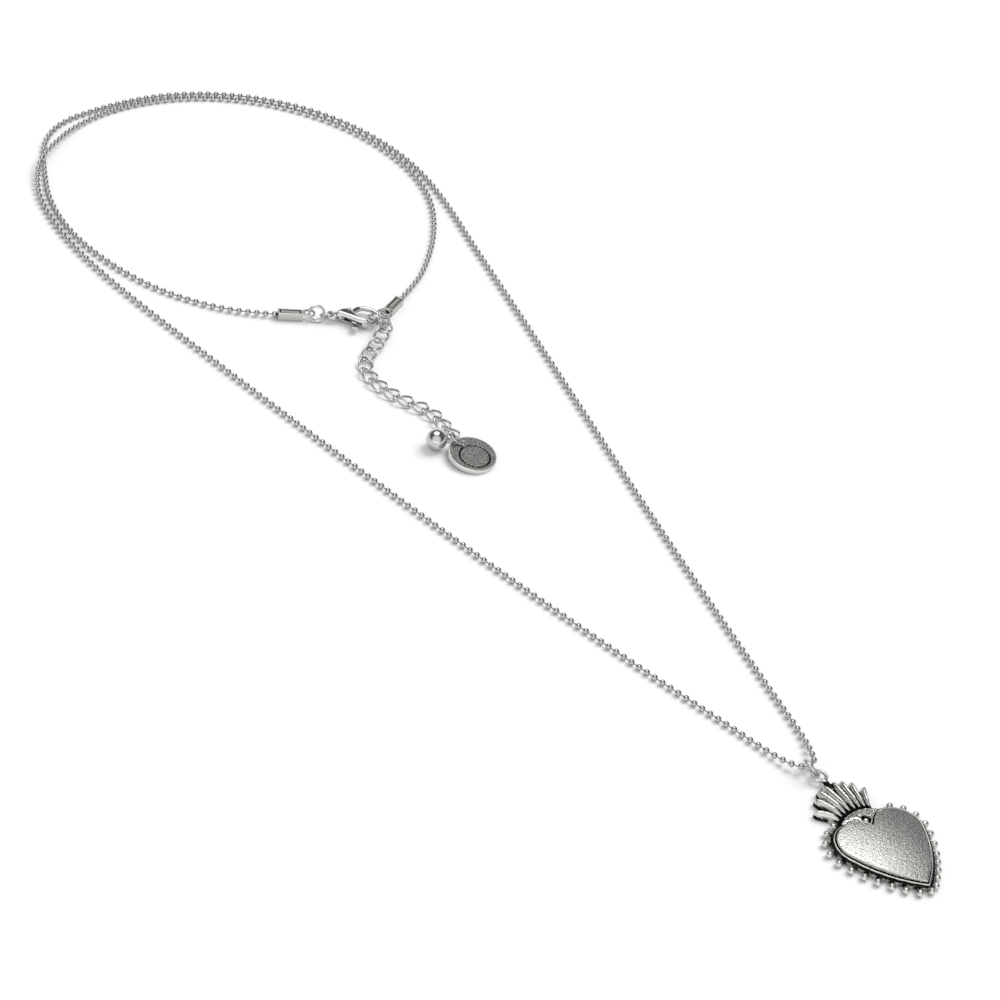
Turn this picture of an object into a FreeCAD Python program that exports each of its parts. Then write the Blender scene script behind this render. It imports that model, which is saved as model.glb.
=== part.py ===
"""A sacred heart pendant on its ball chain, with clasp, extension chain and charms.

Millimetres, +Z up. The origin is on the pendant's flat back, at the heart's centre;
+Y runs from the heart's tip to its hanging eye, and the necklace lies on the plane z = 0.
"""
import FreeCAD, Part
import math
import os

from FreeCAD import Placement, Rotation, Vector

UP = Vector(0, 0, 1)

# Driving dimensions: every size is written once, here, in millimetres or degrees
SIZES = {
    # Heart casting
    "lobe_across": 5.2,
    "lobe_up": 3.9,
    "lobe_radius": 5.25,
    "side_radius": 30.0,
    "tip_drop": 11.2,
    "notch_slope": 43.0,
    "plate_thick": 1.3,
    "border_width": 1.1,
    "dome_top": 3.1,
    "dome_bulge_radius": 72.0,
    "rim_gap": 0.25,
    "rim_width": 0.35,
    "rim_height": 0.45,
    "pearl_radius": 0.82,
    "pearl_offset": 2.0,
    "pearl_shift_across": -0.4,
    "pearl_shift_up": -0.2,
    "pearl_start": 2.8,
    "pearl_pitch": 2.95,
    "pearl_close_pitch": 2.3,
    "tip_pearl_drop": 1.7,
    "stem_radius": 0.42,
    "crown_half_width": 7.4,
    "crown_half_depth": 4.7,
    "crown_up": 8.0,
    "crown_height": 2.5,
    "notch_ball_radius": 0.75,
    "notch_ball_up": 8.4,
    "notch_ball_height": 2.3,
    "flame_height": 2.2,
    "flame_root_width": 1.35,
    "flame_width": 1.95,
    "flame_tip_width": 0.5,
    "flame_bed_thick": 0.9,
    "eye_up": 23.5,
    "eye_height": 1.4,
    "eye_mean_radius": 1.5,
    "eye_wire_radius": 0.42,
    "neck_width": 1.5,
    # Jump rings and links
    "ring_wire_radius": 0.36,
    "thin_wire_radius": 0.3,
    "end_wire_radius": 0.32,
    "slim_wire_radius": 0.28,
    "pendant_ring_radius": 2.2,
    "pendant_ring_lean": 38.0,
    "pendant_ring_play": 0.3,
    "clasp_ring_radius": 1.85,
    "clasp_link_radius": 1.55,
    "end_ring_radius": 2.3,
    "end_link_radius": 2.13,
    "charm_ring_radius": 2.45,
    "link_half_length": 2.5,
    "link_half_width": 1.7,
    "link_twist_height": 0.55,
    "link_pitch": 4.0,
    "link_wire_radius": 0.35,
    # Ball chain
    "chain_radius": 0.75,
    # Crimp ends
    "crimp_length": 6.0,
    "crimp_wall": 0.3,
    "crimp_play_side": 0.1,
    "crimp_play_top": 0.05,
    "crimp_seam": 0.3,
    "crimp_grip": 3.5,
    "crimp_loop_reach": 1.6,
    "crimp_loop_radius": 1.5,
    "crimp_loop_hole": 1.0,
    "crimp_loop_thick": 0.5,
    # Lobster clasp
    "clasp_mid_height": 1.5,
    "clasp_eye_mean_radius": 1.25,
    "clasp_eye_wire_radius": 0.42,
    "clasp_housing_thick": 2.8,
    "clasp_housing_reach": 5.0,
    "hook_along": 8.0,
    "hook_across": -0.2,
    "hook_radius": 3.1,
    "hook_wire_radius": 0.62,
    "slot_start": 2.0,
    "slot_end": 6.6,
    "clasp_slot": 1.0,
    "lever_side_play": 0.08,
    "rivet_radius": 0.4,
    "rivet_play": 0.05,
    "rivet_along": 4.2,
    "rivet_across": 1.3,
    "lever_hub_radius": 0.95,
    "lever_width": 1.0,
    "gate_gap": 0.12,
    "gate_sweep": 44.0,
    "knob_radius": 0.85,
    "knob_along": 4.9,
    "knob_across": -4.7,
    # Charms
    "ball_radius": 2.5,
    "ball_eye_reach": 3.15,
    "ball_eye_mean_radius": 0.95,
    "ball_eye_wire_radius": 0.28,
    "tag_radius": 5.75,
    "tag_thick": 1.2,
    "tag_tilt": 5.4,
    "tag_hole_radius": 1.1,
    "tag_hole_edge": 0.75,
    "tag_groove_radius": 3.4,
    "tag_groove_width": 0.45,
    "tag_groove_depth": 0.3,
    "tag_groove_back": 0.9,
}

doc = FreeCAD.newDocument("SacredHeartPendant")
sheet = doc.addObject("Spreadsheet::Sheet", "Sizes")
for row, (alias, value) in enumerate(SIZES.items(), start=1):
    sheet.set(f"A{row}", alias.replace("_", " "))
    sheet.set(f"B{row}", str(value))
    sheet.setAlias(f"B{row}", alias)
doc.recompute()


def size(alias):
    """The sheet's value for a named size."""
    return float(getattr(sheet, alias))


def bind(thing, **links):
    """Bind properties of a document object to expressions on the sheet's names."""
    for prop, expression in links.items():
        thing.setExpression(prop, expression)
    return thing


def xy(x, y, z=0.0):
    """A point from its coordinates."""
    return Vector(x, y, z)


def turned(angle, reach=1.0):
    """The level vector of a given length at an angle in degrees from +X."""
    a = math.radians(angle)
    return Vector(reach * math.cos(a), reach * math.sin(a), 0)


def feature(name, shape, placement=None):
    """A document object holding a shape made by the functions of this file."""
    thing = doc.addObject("Part::Feature", name)
    thing.Shape = shape
    if placement is not None:
        thing.Placement = placement
    return thing


def skin(rings, closed):
    """A solid from rings of points: its side faces, and two end caps if it is open."""
    faces = []
    count, sides = len(rings), len(rings[0])
    for i in range(count if closed else count - 1):
        near, far = rings[i], rings[(i + 1) % count]
        for j in range(sides):
            k = (j + 1) % sides
            for corners in ((near[j], near[k], far[k]), (near[j], far[k], far[j])):
                faces.append(Part.Face(Part.makePolygon([*corners, corners[0]])))
    if not closed:
        for ring in (rings[0], rings[-1]):
            faces.append(Part.Face(Part.makePolygon([*ring, ring[0]])))
    solid = Part.Solid(Part.Shell(faces))
    if solid.Volume < 0:
        solid.reverse()
    return solid


def wire_loop(points, radius, sides=6):
    """Round wire, drawn with flat sides, along a closed loop of points about the origin."""
    rings = []
    for i, here in enumerate(points):
        along = (points[(i + 1) % len(points)] - points[i - 1]).normalize()
        outward = (here - along * here.dot(along)).normalize()
        beside = along.cross(outward)
        steps = (2 * math.pi * j / sides for j in range(sides))
        rings.append([here + outward * radius * math.cos(a) + beside * radius * math.sin(a)
                      for a in steps])
    return skin(rings, closed=True)


def round_ring(mean_radius, wire_radius, stations=18, sides=5):
    """A flat ring of round wire in the XY plane."""
    step = 360 / stations
    return wire_loop([turned(step * i, mean_radius) for i in range(stations)],
                     wire_radius, sides)


def stack(levels, sides=8):
    """A solid from regular polygons on +Z, given as pairs of height and radius."""
    step = 360 / sides
    return skin([[turned(step * j, radius) + UP * height for j in range(sides)]
                 for height, radius in levels], closed=False)


def bead(radius):
    """A small round bead about the origin, drawn with flat facets."""
    bands = (-60, 0, 60)
    return stack([(radius * math.sin(math.radians(a)), radius * math.cos(math.radians(a)))
                  for a in bands])


# Heart outline
LOBE = xy(size("lobe_across"), size("lobe_up"))
TIP = xy(0, -size("tip_drop"))


def side_centre():
    """Centre of the long side arc that runs tangent from the lobe to the tip."""
    reach, side = size("side_radius") - size("lobe_radius"), size("side_radius")
    line = TIP - LOBE
    gap = line.Length
    along = (reach ** 2 - side ** 2 + gap ** 2) / (2 * gap)
    line.normalize()
    across = xy(line.y, -line.x)
    if across.x > 0:
        across = across * -1
    return LOBE + line * along + across * math.sqrt(reach ** 2 - along ** 2)


SIDE = side_centre()
LOBE_SIDES = 12
SIDE_SIDES = 5


def half_outline(offset):
    """Corners and arc middles of the heart's right half, grown by an offset.

    Returns notch, lobe start, lobe middle, lobe end, side middle and tip.
    """
    slope = math.radians(size("notch_slope"))
    radius = size("lobe_radius") + offset
    start = LOBE + xy(-math.sin(slope), math.cos(slope)) * radius
    notch = xy(0, start.y - start.x * math.tan(slope))
    down = (LOBE - SIDE).normalize()
    end_angle = math.atan2(down.y, down.x)
    start_angle = math.pi / 2 + slope
    middle = (start_angle + end_angle) / 2
    lobe_middle = LOBE + xy(math.cos(middle), math.sin(middle)) * radius
    lobe_end = LOBE + down * radius
    side = size("side_radius") + offset
    tip = xy(0, SIDE.y - math.sqrt(side ** 2 - SIDE.x ** 2))
    toward_tip = (tip - SIDE).normalize()
    side_middle = SIDE + (down + toward_tip).normalize() * side
    return notch, start, lobe_middle, lobe_end, side_middle, tip


def heart_face(offset, height=0.0):
    """The heart's outline, grown by an offset, as a face at a height, with short straight sides."""
    notch, start, lobe, end, side, tip = (p + UP * height for p in half_outline(offset))

    def left(point):
        return Vector(-point.x, point.y, point.z)

    lobe_corners = Part.Arc(start, lobe, end).toShape().discretize(LOBE_SIDES + 1)
    side_corners = Part.Arc(end, side, tip).toShape().discretize(SIDE_SIDES + 1)
    right = [*lobe_corners, *side_corners[1:]]
    corners = [notch, *right, *(left(corner) for corner in reversed(right[:-1])), notch]
    return Part.Face(Part.makePolygon(corners))


def pearl_places():
    """Centres of the border pearls: evenly spaced on the left, closer near the tip on the right."""
    _, start, lobe, end, side, tip = half_outline(size("pearl_offset"))
    path = [Part.Arc(tip, side, end).toShape(), Part.Arc(end, lobe, start).toShape()]
    even, close = size("pearl_pitch"), size("pearl_close_pitch")

    def at(distance):
        for edge in path:
            if distance <= edge.Length:
                return edge.valueAt(edge.getParameterByLength(distance))
            distance -= edge.Length
        return path[-1].valueAt(path[-1].LastParameter)

    right = [close] * 4 + [even] * 6
    left = [even] * 10
    shift = xy(size("pearl_shift_across"), size("pearl_shift_up"))
    places = [TIP - xy(0, size("tip_pearl_drop"))]
    for steps, mirror in ((right, 1), (left, -1)):
        distance = size("pearl_start")
        for step in [0, *steps]:
            distance += step
            spot = at(distance)
            places.append(xy(mirror * spot.x, spot.y) + shift)
    return places


def pearl_and_stem(place, heart_middle):
    """One border pearl with the short stem that joins it to the backing plate."""
    height = UP * size("pearl_radius")
    inward = (heart_middle - place).normalize()
    reach = size("pearl_offset")
    stem = stack([(0, size("stem_radius")), (reach, size("stem_radius"))], sides=4)
    stem.Placement = Placement(place + height, Rotation(UP, inward))
    pearl = bead(size("pearl_radius"))
    pearl.Placement = Placement(place + height, Rotation())
    return [pearl, stem]


# Flame tongues, from left to right: tip across and up, and root across
TONGUES = ((-8.3, 15.5, -4.7), (-5.8, 18.4, -3.4), (-3.5, 20.1, -2.1), (-1.4, 20.8, -0.75),
           (1.3, 20.8, 0.75), (3.2, 20.2, 2.0), (5.0, 18.9, 3.1), (6.7, 16.5, 4.0))
TONGUE_BEND = 0.22
TONGUE_ROOT_DEPTH = 1.6


def crown_edge(across):
    """Height of the crown band's upper edge above the origin, at a distance across."""
    share = across / size("crown_half_width")
    return size("crown_up") + size("crown_half_depth") * math.sqrt(1 - share ** 2)


def tongue(tip_across, tip_up, root_across):
    """One flame tongue: a curved, tapered bar with a half round back, from crown to tip."""
    root = xy(root_across, crown_edge(root_across) - TONGUE_ROOT_DEPTH)
    tip = xy(tip_across, tip_up)
    rise = tip - root
    bend = xy(root.x + rise.x * TONGUE_BEND, root.y + rise.y * 0.62)
    widths = (size("flame_root_width"), size("flame_root_width") * 1.1, size("flame_width"),
              size("flame_width") * 0.95, size("flame_width") * 0.7, size("flame_tip_width"))
    section = ((-0.5, 0.05), (-0.42, 0.66), (0, 0.97), (0.42, 0.66), (0.5, 0.05))
    rings = []
    for i, width in enumerate(widths):
        t = i / (len(widths) - 1)
        here = root * (1 - t) ** 2 + bend * 2 * t * (1 - t) + tip * t ** 2
        along = ((bend - root) * (1 - t) + (tip - bend) * t).normalize()
        beside = xy(along.y, -along.x)
        height = size("flame_height") * (0.72 + 0.28 * width / size("flame_width"))
        rings.append([here + beside * width * side + UP * height * up for side, up in section])
    return skin(rings, closed=False)


def flame_bed():
    """The thin bed that carries the tongues, set back from their tips."""
    inset = 0.82
    crown = xy(0, size("crown_up"))
    rim = [crown + (xy(across, up) - crown) * inset for across, up, _ in TONGUES]
    left, right = TONGUES[0][2] - 0.4, TONGUES[-1][2] + 0.4
    outline = [xy(left, crown_edge(left) - 1), *rim, xy(right, crown_edge(right) - 1)]
    face = Part.Face(Part.makePolygon([*outline, outline[0]]))
    return face.extrude(UP * size("flame_bed_thick"))


def bulge_form():
    """The flat, faceted cap of a large sphere whose top shapes the dome."""
    radius, top = size("dome_bulge_radius"), size("dome_top")

    def level(reach):
        return top - radius + math.sqrt(radius ** 2 - reach ** 2), reach

    return stack([(0, 17), *(level(reach) for reach in (17, 12.5, 8.5, 5, 2))], sides=20)


def crown_form():
    """The upper half of the crown band's flat ellipsoid, drawn with flat facets."""
    rings = []
    for rise in (0, 25, 50, 75):
        grow, height = math.cos(math.radians(rise)), math.sin(math.radians(rise))
        rings.append([
            xy(size("crown_half_width") * grow * math.cos(2 * math.pi * j / 22),
               size("crown_up") + size("crown_half_depth") * grow * math.sin(2 * math.pi * j / 22),
               size("crown_height") * height) for j in range(22)])
    return skin(rings, closed=False)


def make_heart_casting():
    """The cast heart: plates, dome, pearls, crown, tongues and eye in one solid."""
    plate_top = size("plate_thick")
    plate = heart_face(size("border_width")).extrude(UP * plate_top)
    rim_in = size("rim_gap")
    rim_out = rim_in + size("rim_width")
    rim_rise = UP * size("rim_height")
    rim = heart_face(rim_out, plate_top).extrude(rim_rise).cut(
        heart_face(rim_in, plate_top).extrude(rim_rise))
    dome = heart_face(0).extrude(UP * size("dome_top")).common(bulge_form())
    pocket = Part.makeCylinder(size("notch_ball_radius") * 1.6, size("crown_height"),
                               xy(0, size("notch_ball_up"), size("plate_thick")))
    ball = bead(size("notch_ball_radius"))
    ball.Placement = Placement(xy(0, size("notch_ball_up"),
                                  size("notch_ball_height") - size("notch_ball_radius")), Rotation())
    middle = xy(0, size("lobe_up") / 2)
    parts = [crown_form().cut(pocket), ball, flame_bed(), dome, rim]
    for place in pearl_places():
        parts += pearl_and_stem(place, middle)
    parts += [tongue(*places) for places in TONGUES]
    eye = round_ring(size("eye_mean_radius"), size("eye_wire_radius"), stations=16, sides=6)
    eye.Placement = Placement(xy(0, size("eye_up"), size("eye_height")), Rotation())
    width = size("neck_width")
    neck_low = TONGUES[3][1] - 4
    neck_high = size("eye_up") - size("eye_mean_radius") - size("eye_wire_radius") * 0.4
    neck = Part.makeBox(width, neck_high - neck_low, size("eye_wire_radius") * 1.6,
                        xy(-width / 2, neck_low, size("eye_height") - size("eye_wire_radius") * 0.8))
    solid = plate.multiFuse(parts + [eye, neck]).removeSplitter()
    return feature("heart_casting", solid)


# The ball chain's tube has flat sides, to keep its facets few
CHAIN_SIDES = 6

# Ball chain route: from inside the left crimp end, round the neck loop, down the right strand,
# through the pendant's ring, up the left strand, over itself and round again to the right crimp
CHAIN_LOW = size("chain_radius")
LEFT_MOUTH = xy(-18.1, 208.9)
LEFT_HEADING = -27.7
RIGHT_MOUTH = xy(13.15, 201.8)
RIGHT_HEADING = 208
CHAIN_OUT = [
    (-24.6, 212.3, 1.02), (-33.2, 220.6, 0.75), (-40.4, 230.8, 0.75), (-45.2, 243.6, 0.75),
    (-47.5, 258.6, 0.75), (-45.5, 273.0, 0.75), (-39.8, 285.6, 0.75), (-34.3, 296.2, 0.75),
    (-25.4, 303.2, 0.75), (-12.0, 305.2, 0.75), (3.0, 305.4, 0.75), (17.5, 301.6, 0.75),
    (30.9, 293.9, 0.75), (41.8, 282.4, 0.75), (49.0, 268.0, 0.75), (51.9, 251.0, 0.75),
    (49.6, 233.6, 0.75), (45.2, 216.0, 0.75), (38.6, 186.0, 0.75), (29.3, 146.0, 0.75),
    (18.6, 100.0, 0.75), (10.6, 62.0, 0.75), (7.0, 44.0, 0.75), (5.2, 35.0, 0.8),
    (3.3, 30.2, 1.35),
]
CHAIN_BACK = [
    (-4.2, 30.8, 1.35), (-5.5, 36.6, 0.8), (-8.2, 47.0, 0.75), (-13.6, 66.0, 0.75),
    (-22.8, 103.0, 0.75), (-31.4, 143.5, 0.75), (-38.6, 181.0, 0.75), (-43.8, 209.5, 0.75),
    (-47.3, 229.5, 0.75), (-49.2, 245.0, 0.75), (-49.7, 259.4, 0.75), (-47.7, 273.6, 0.75),
    (-43.6, 282.8, 1.4), (-38.9, 288.7, 2.5), (-31.8, 293.3, 2.5), (-24.2, 298.9, 1.1),
    (-12.4, 303.1, 0.75), (2.8, 303.4, 0.75), (16.7, 299.8, 0.75), (29.7, 292.3, 0.75),
    (40.2, 281.1, 0.75), (47.1, 267.3, 0.75), (49.7, 251.6, 0.75), (47.0, 236.6, 0.75),
    (39.2, 223.6, 0.75), (29.5, 213.0, 0.75), (21.0, 206.0, 1.02),
]


def ring_seat():
    """Middle of the ball chain where it passes through the pendant's jump ring."""
    reach = (size("pendant_ring_radius") - size("ring_wire_radius") - size("chain_radius")
             - size("pendant_ring_play"))
    return pendant_ring_centre() + xy(0, reach)


def pendant_ring_centre():
    """Centre of the leaning jump ring whose wire runs through the pendant's eye."""
    radius, wire = size("pendant_ring_radius"), size("ring_wire_radius")
    lean = math.radians(size("pendant_ring_lean"))
    height = radius * math.cos(lean) + wire
    drop = height - size("eye_height")
    return xy(-drop * math.tan(lean), size("eye_up") + radius, height)


def crimp_height():
    """Outer height of a crimp end lying on its folded side."""
    return 2 * (size("chain_radius") + size("crimp_play_top") + size("crimp_wall"))


def grip_point(mouth, heading):
    """Where the chain ends inside a crimp end, at the middle of its height."""
    return mouth + turned(heading, size("crimp_grip")) + UP * (crimp_height() / 2)


def chain_route():
    """All points of the ball chain's route, from the left crimp end to the right one."""
    seat = ring_seat()
    half = 1.85
    through = [seat + xy(half, 0), seat - xy(half, 0)]
    out = [Vector(*p) for p in CHAIN_OUT]
    back = [Vector(*p) for p in CHAIN_BACK]
    return [grip_point(LEFT_MOUTH, LEFT_HEADING), *out, *through, *back,
            grip_point(RIGHT_MOUTH, RIGHT_HEADING)]


def rounded_path(route):
    """Straight runs joined by tangent arcs, each as large as its two runs allow."""
    edges, radii = [], []
    here = route[0]
    for before, corner, after in zip(route, route[1:], route[2:]):
        back, ahead = before - corner, after - corner
        turn = math.pi - back.getAngle(ahead)
        shorter = min(back.Length, ahead.Length)
        reach = 0.45 * shorter
        radii.append(reach / math.tan(turn / 2))
        start = corner + back.normalize() * reach
        end = corner + ahead.normalize() * reach
        bisector = (back + ahead).normalize()
        middle = corner + bisector * (radii[-1] / math.cos(turn / 2) - radii[-1])
        edges += [Part.LineSegment(here, start).toShape(), Part.Arc(start, middle, end).toShape()]
        here = end
    edges.append(Part.LineSegment(here, route[-1]).toShape())
    return Part.Wire(edges), radii


def make_ball_chain():
    """The ball chain as one plain tube of the beads' diameter along its real route."""
    path, radii = rounded_path(chain_route())
    radius, sides = size("chain_radius"), CHAIN_SIDES
    start = path.Edges[0]
    foot = start.valueAt(start.FirstParameter)
    along = start.tangentAt(start.FirstParameter)
    beside = along.cross(UP).normalize()
    above = beside.cross(along)
    steps = [2 * math.pi * (j + 0.5) / sides for j in range(sides)]
    corners = [foot + beside * radius * math.cos(a) + above * radius * math.sin(a) for a in steps]
    tube = path.makePipeShell([Part.makePolygon([*corners, corners[0]])], True, True)
    expected = sides / 2 * math.sin(2 * math.pi / sides) * radius ** 2 * path.Length
    print(f"ball chain length {path.Length:.1f} mm, volume {tube.Volume:.1f}, "
          f"section times length {expected:.1f}")
    print("ball chain radii", " ".join(f"{r:.1f}" for r in radii))
    return feature("ball_chain", tube)


# Crimp ends
def plane_of(body, role):
    """One of a body's own origin planes, by its role."""
    return next(item for item in body.Origin.OriginFeatures if item.Role == role)


def sketch_on(body, name, role, lift=0.0):
    """A sketch of a body, flat on one of its origin planes."""
    sketch = body.newObject("Sketcher::SketchObject", name)
    sketch.AttachmentSupport = [(plane_of(body, role), "")]
    sketch.MapMode = "FlatFace"
    sketch.AttachmentOffset = Placement(xy(0, 0, lift), Rotation())
    return sketch


def draw_loop(sketch, corners):
    """Add a closed loop of straight lines to a sketch."""
    for start, end in zip(corners, [*corners[1:], corners[0]]):
        sketch.addGeometry(Part.LineSegment(xy(*start), xy(*end)), False)


def make_crimp(name, mouth, heading):
    """A folded crimp end: a channel of sheet metal with a seam below and a loop on top.

    It is drawn with its mouth at x = 0 and its loop towards +X, then turned and placed.
    """
    body = doc.addObject("PartDesign::Body", name)
    wide = size("chain_radius") + size("crimp_play_side")
    outer = wide + size("crimp_wall")
    high = crimp_height()
    wall, seam = size("crimp_wall"), size("crimp_seam") / 2
    section = sketch_on(body, name + "_section", "YZ_Plane")
    draw_loop(section, [
        (-seam, 0, 0), (-outer, 0, 0), (-outer, high, 0), (outer, high, 0), (outer, 0, 0),
        (seam, 0, 0), (seam, wall, 0), (wide, wall, 0), (wide, high - wall, 0),
        (-wide, high - wall, 0), (-wide, wall, 0), (-seam, wall, 0)])
    channel = body.newObject("PartDesign::Pad", name + "_channel")
    channel.Profile = section
    bind(channel, Length="Sizes.crimp_length")
    flat = sketch_on(body, name + "_loop_shape", "XY_Plane", high - size("crimp_loop_thick"))
    centre = size("crimp_length") + size("crimp_loop_reach")
    radius = size("crimp_loop_radius")
    tail = size("crimp_grip") + size("crimp_loop_thick")
    lean = math.acos(wide / radius) if wide < radius else 0
    joint = centre - radius * math.sin(lean)
    flat.addGeometry(Part.LineSegment(xy(tail, -wide), xy(joint, -wide)), False)
    flat.addGeometry(Part.Arc(xy(joint, -wide), xy(centre + radius, 0), xy(joint, wide)), False)
    flat.addGeometry(Part.LineSegment(xy(joint, wide), xy(tail, wide)), False)
    flat.addGeometry(Part.LineSegment(xy(tail, wide), xy(tail, -wide)), False)
    flat.addGeometry(Part.Circle(xy(centre, 0), UP, size("crimp_loop_hole")), False)
    loop = body.newObject("PartDesign::Pad", name + "_loop")
    loop.Profile = flat
    bind(loop, Length="Sizes.crimp_loop_thick")
    body.Tip = loop
    body.Placement = Placement(mouth, Rotation(UP, heading))
    return body


# Jump rings: centre on the table, lift off it, level heading held by the ring's plane, lean to
# the left of that heading, and the names of the ring's two sizes
RINGS = {
    "clasp_jump_ring": (-9.71, 204.55, 0.0, -26, 38, "clasp_ring_radius", "ring_wire_radius"),
    "clasp_link": (-7.42, 203.47, 0.06, -26, -43.5, "clasp_link_radius", "thin_wire_radius"),
    "end_ring": (2.57, 196.3, 0.03, -51.3, -36.4, "end_ring_radius", "end_wire_radius"),
    "end_link": (4.61, 196.53, 0.02, 36.7, 45.7, "end_link_radius", "slim_wire_radius"),
    "charm_ring": (-6.55, 149.85, 0.01, -96.2, -44.6, "charm_ring_radius", "end_wire_radius"),
}


def lean_turn(heading, lean):
    """Rotation that stands a flat ring up along a heading and leans it to the left."""
    return Rotation(UP, heading).multiply(Rotation(Vector(1, 0, 0), 90 - lean))


def resting_height(lean, mean_radius, wire_radius):
    """Height of a leaning ring's centre when its wire rests on the table."""
    return mean_radius * math.cos(math.radians(lean)) + wire_radius


def make_rings():
    """All the plain jump rings."""
    for name, (x, y, lift, heading, lean, mean_alias, wire_alias) in RINGS.items():
        mean, wire = size(mean_alias), size(wire_alias)
        centre = xy(x, y, resting_height(lean, mean, wire) + lift)
        feature(name, round_ring(mean, wire), Placement(centre, lean_turn(heading, lean)))
    mean, wire = size("pendant_ring_radius"), size("ring_wire_radius")
    feature("pendant_jump_ring", round_ring(mean, wire),
            Placement(pendant_ring_centre(), lean_turn(90, size("pendant_ring_lean"))))


# Lobster clasp
CLASP_EYE = xy(-6.1, 202.8)
CLASP_HEADING = -24.8
HOUSING = [(0.9, -0.6), (2.2, -1.2), (4.0, -2.3), (5.6, -3.4), (7.0, -3.9), (8.1, -4.0),
           (8.5, -3.3), (7.9, -2.6), (6.6, -2.1), (5.8, -0.9), (5.5, 0.6), (5.0, 1.9),
           (4.1, 2.45), (2.9, 2.0), (1.8, 1.1), (0.9, 0.6)]
OUTLINE_SIDES = 36
HOOK_START = -100
HOOK_END = 104
HOOK_STEPS = 14


def clasp_place():
    """Placement of the clasp's own frame: its eye at the origin and its hook towards +X."""
    return Placement(CLASP_EYE + UP * size("clasp_mid_height"), Rotation(UP, CLASP_HEADING))


def hook_point(angle, outward=0.0):
    """A point beside the hook's centre line, at an angle in degrees, in the clasp's frame."""
    centre = xy(size("hook_along"), size("hook_across"))
    return centre + turned(angle, size("hook_radius") + outward)


def hub_point():
    """Where the rivet stands, in the clasp's frame."""
    return xy(size("rivet_along"), size("rivet_across"))


def closed_outline(points):
    """A face inside a smooth closed curve through points, drawn with short straight sides."""
    curve = Part.BSplineCurve()
    curve.interpolate([xy(*p) for p in points], PeriodicFlag=True)
    corners = curve.toShape().discretize(OUTLINE_SIDES + 1)
    return Part.Face(Part.makePolygon([*corners[:-1], corners[0]]))


def make_clasp_body():
    """The clasp's casting: eye, hollow housing and round hook."""
    thick = size("clasp_housing_thick")
    housing = closed_outline(HOUSING).extrude(UP * thick)
    housing.translate(UP * (-thick / 2))
    slot_width = size("clasp_slot")
    slot = Part.makeBox(size("slot_end") - size("slot_start"), 2 * size("clasp_housing_reach"),
                        slot_width,
                        xy(size("slot_start"), -size("clasp_housing_reach"), -slot_width / 2))
    bore = Part.makeCylinder(size("rivet_radius"), thick, hub_point() - UP * (thick / 2))
    wire, rings = size("hook_wire_radius"), []
    for i in range(HOOK_STEPS + 1):
        angle = HOOK_START + (HOOK_END - HOOK_START) * i / HOOK_STEPS
        sides = (2 * math.pi * (j + 0.5) / 8 for j in range(8))
        rings.append([hook_point(angle, wire * math.cos(a)) + UP * (wire * math.sin(a))
                      for a in sides])
    hook = skin(rings, closed=False)
    eye = round_ring(size("clasp_eye_mean_radius"), size("clasp_eye_wire_radius"), 16, 6)
    solid = housing.cut(slot).cut(bore).multiFuse([hook, eye]).removeSplitter()
    return feature("clasp_body", solid, clasp_place())


def make_clasp_lever():
    """The gate lever: hub on the rivet, gate arm to the hook's end, and thumb knob behind."""
    thick = size("clasp_slot") - 2 * size("lever_side_play")
    hub = hub_point()
    wide = size("lever_width") / 2
    near = HOOK_END + math.degrees(size("gate_gap") / size("hook_radius"))
    far = near + size("gate_sweep")
    over, under = hub + xy(0, wide * 1.8), hub - xy(0, wide)
    arm = Part.Face(Part.Wire([
        Part.Arc(hook_point(near, wide), hook_point((near + far) / 2, wide),
                 hook_point(far, wide)).toShape(),
        Part.LineSegment(hook_point(far, wide), over).toShape(),
        Part.LineSegment(over, under).toShape(),
        Part.LineSegment(under, hook_point(far, -wide)).toShape(),
        Part.Arc(hook_point(far, -wide), hook_point((near + far) / 2, -wide),
                 hook_point(near, -wide)).toShape(),
        Part.LineSegment(hook_point(near, -wide), hook_point(near, wide)).toShape(),
    ])).extrude(UP * thick)
    knob = xy(size("knob_along"), size("knob_across"))
    drop = (knob - hub).normalize()
    beside = xy(drop.y, -drop.x) * wide
    corners = [hub + beside, knob + beside, knob - beside, hub - beside, hub + beside]
    tail = Part.Face(Part.makePolygon(corners)).extrude(UP * thick)
    rounds = [Part.makeCylinder(size("lever_hub_radius"), thick, hub),
              Part.makeCylinder(size("knob_radius"), thick, knob)]
    bore = Part.makeCylinder(size("rivet_radius") + size("rivet_play"), thick, hub)
    solid = arm.multiFuse([tail, *rounds]).cut(bore).removeSplitter()
    middle = Placement(UP * (-thick / 2), Rotation())
    return feature("clasp_lever", solid, clasp_place().multiply(middle))


def make_clasp_rivet():
    """The plain pin through housing and lever."""
    rivet = doc.addObject("Part::Cylinder", "clasp_rivet")
    bind(rivet, Radius="Sizes.rivet_radius", Height="Sizes.clasp_housing_thick")
    foot = hub_point() - UP * (size("clasp_housing_thick") / 2)
    rivet.Placement = Placement(clasp_place().multVec(foot), Rotation(UP, CLASP_HEADING))
    return rivet


# Extension chain: the first link's place, heading, pitch and roll, the height of its far joint,
# and for each later link its heading and the height of its far joint
LINK_ONE = (3.22, 193.31, 1.8, -140, 1.2, -15.4)
FIRST_JOINT = 1.75
LINKS = ((-138, 1.4), (-153, 1.1), (-141, 0.9), (-126, 0.9), (-100, 0.9), (-84, 0.9), (-74, 0.9),
         (-64, 0.9), (-60, 0.9), (-78, 0.9), (-96, 1.03), (-93, 1.19))


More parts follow.
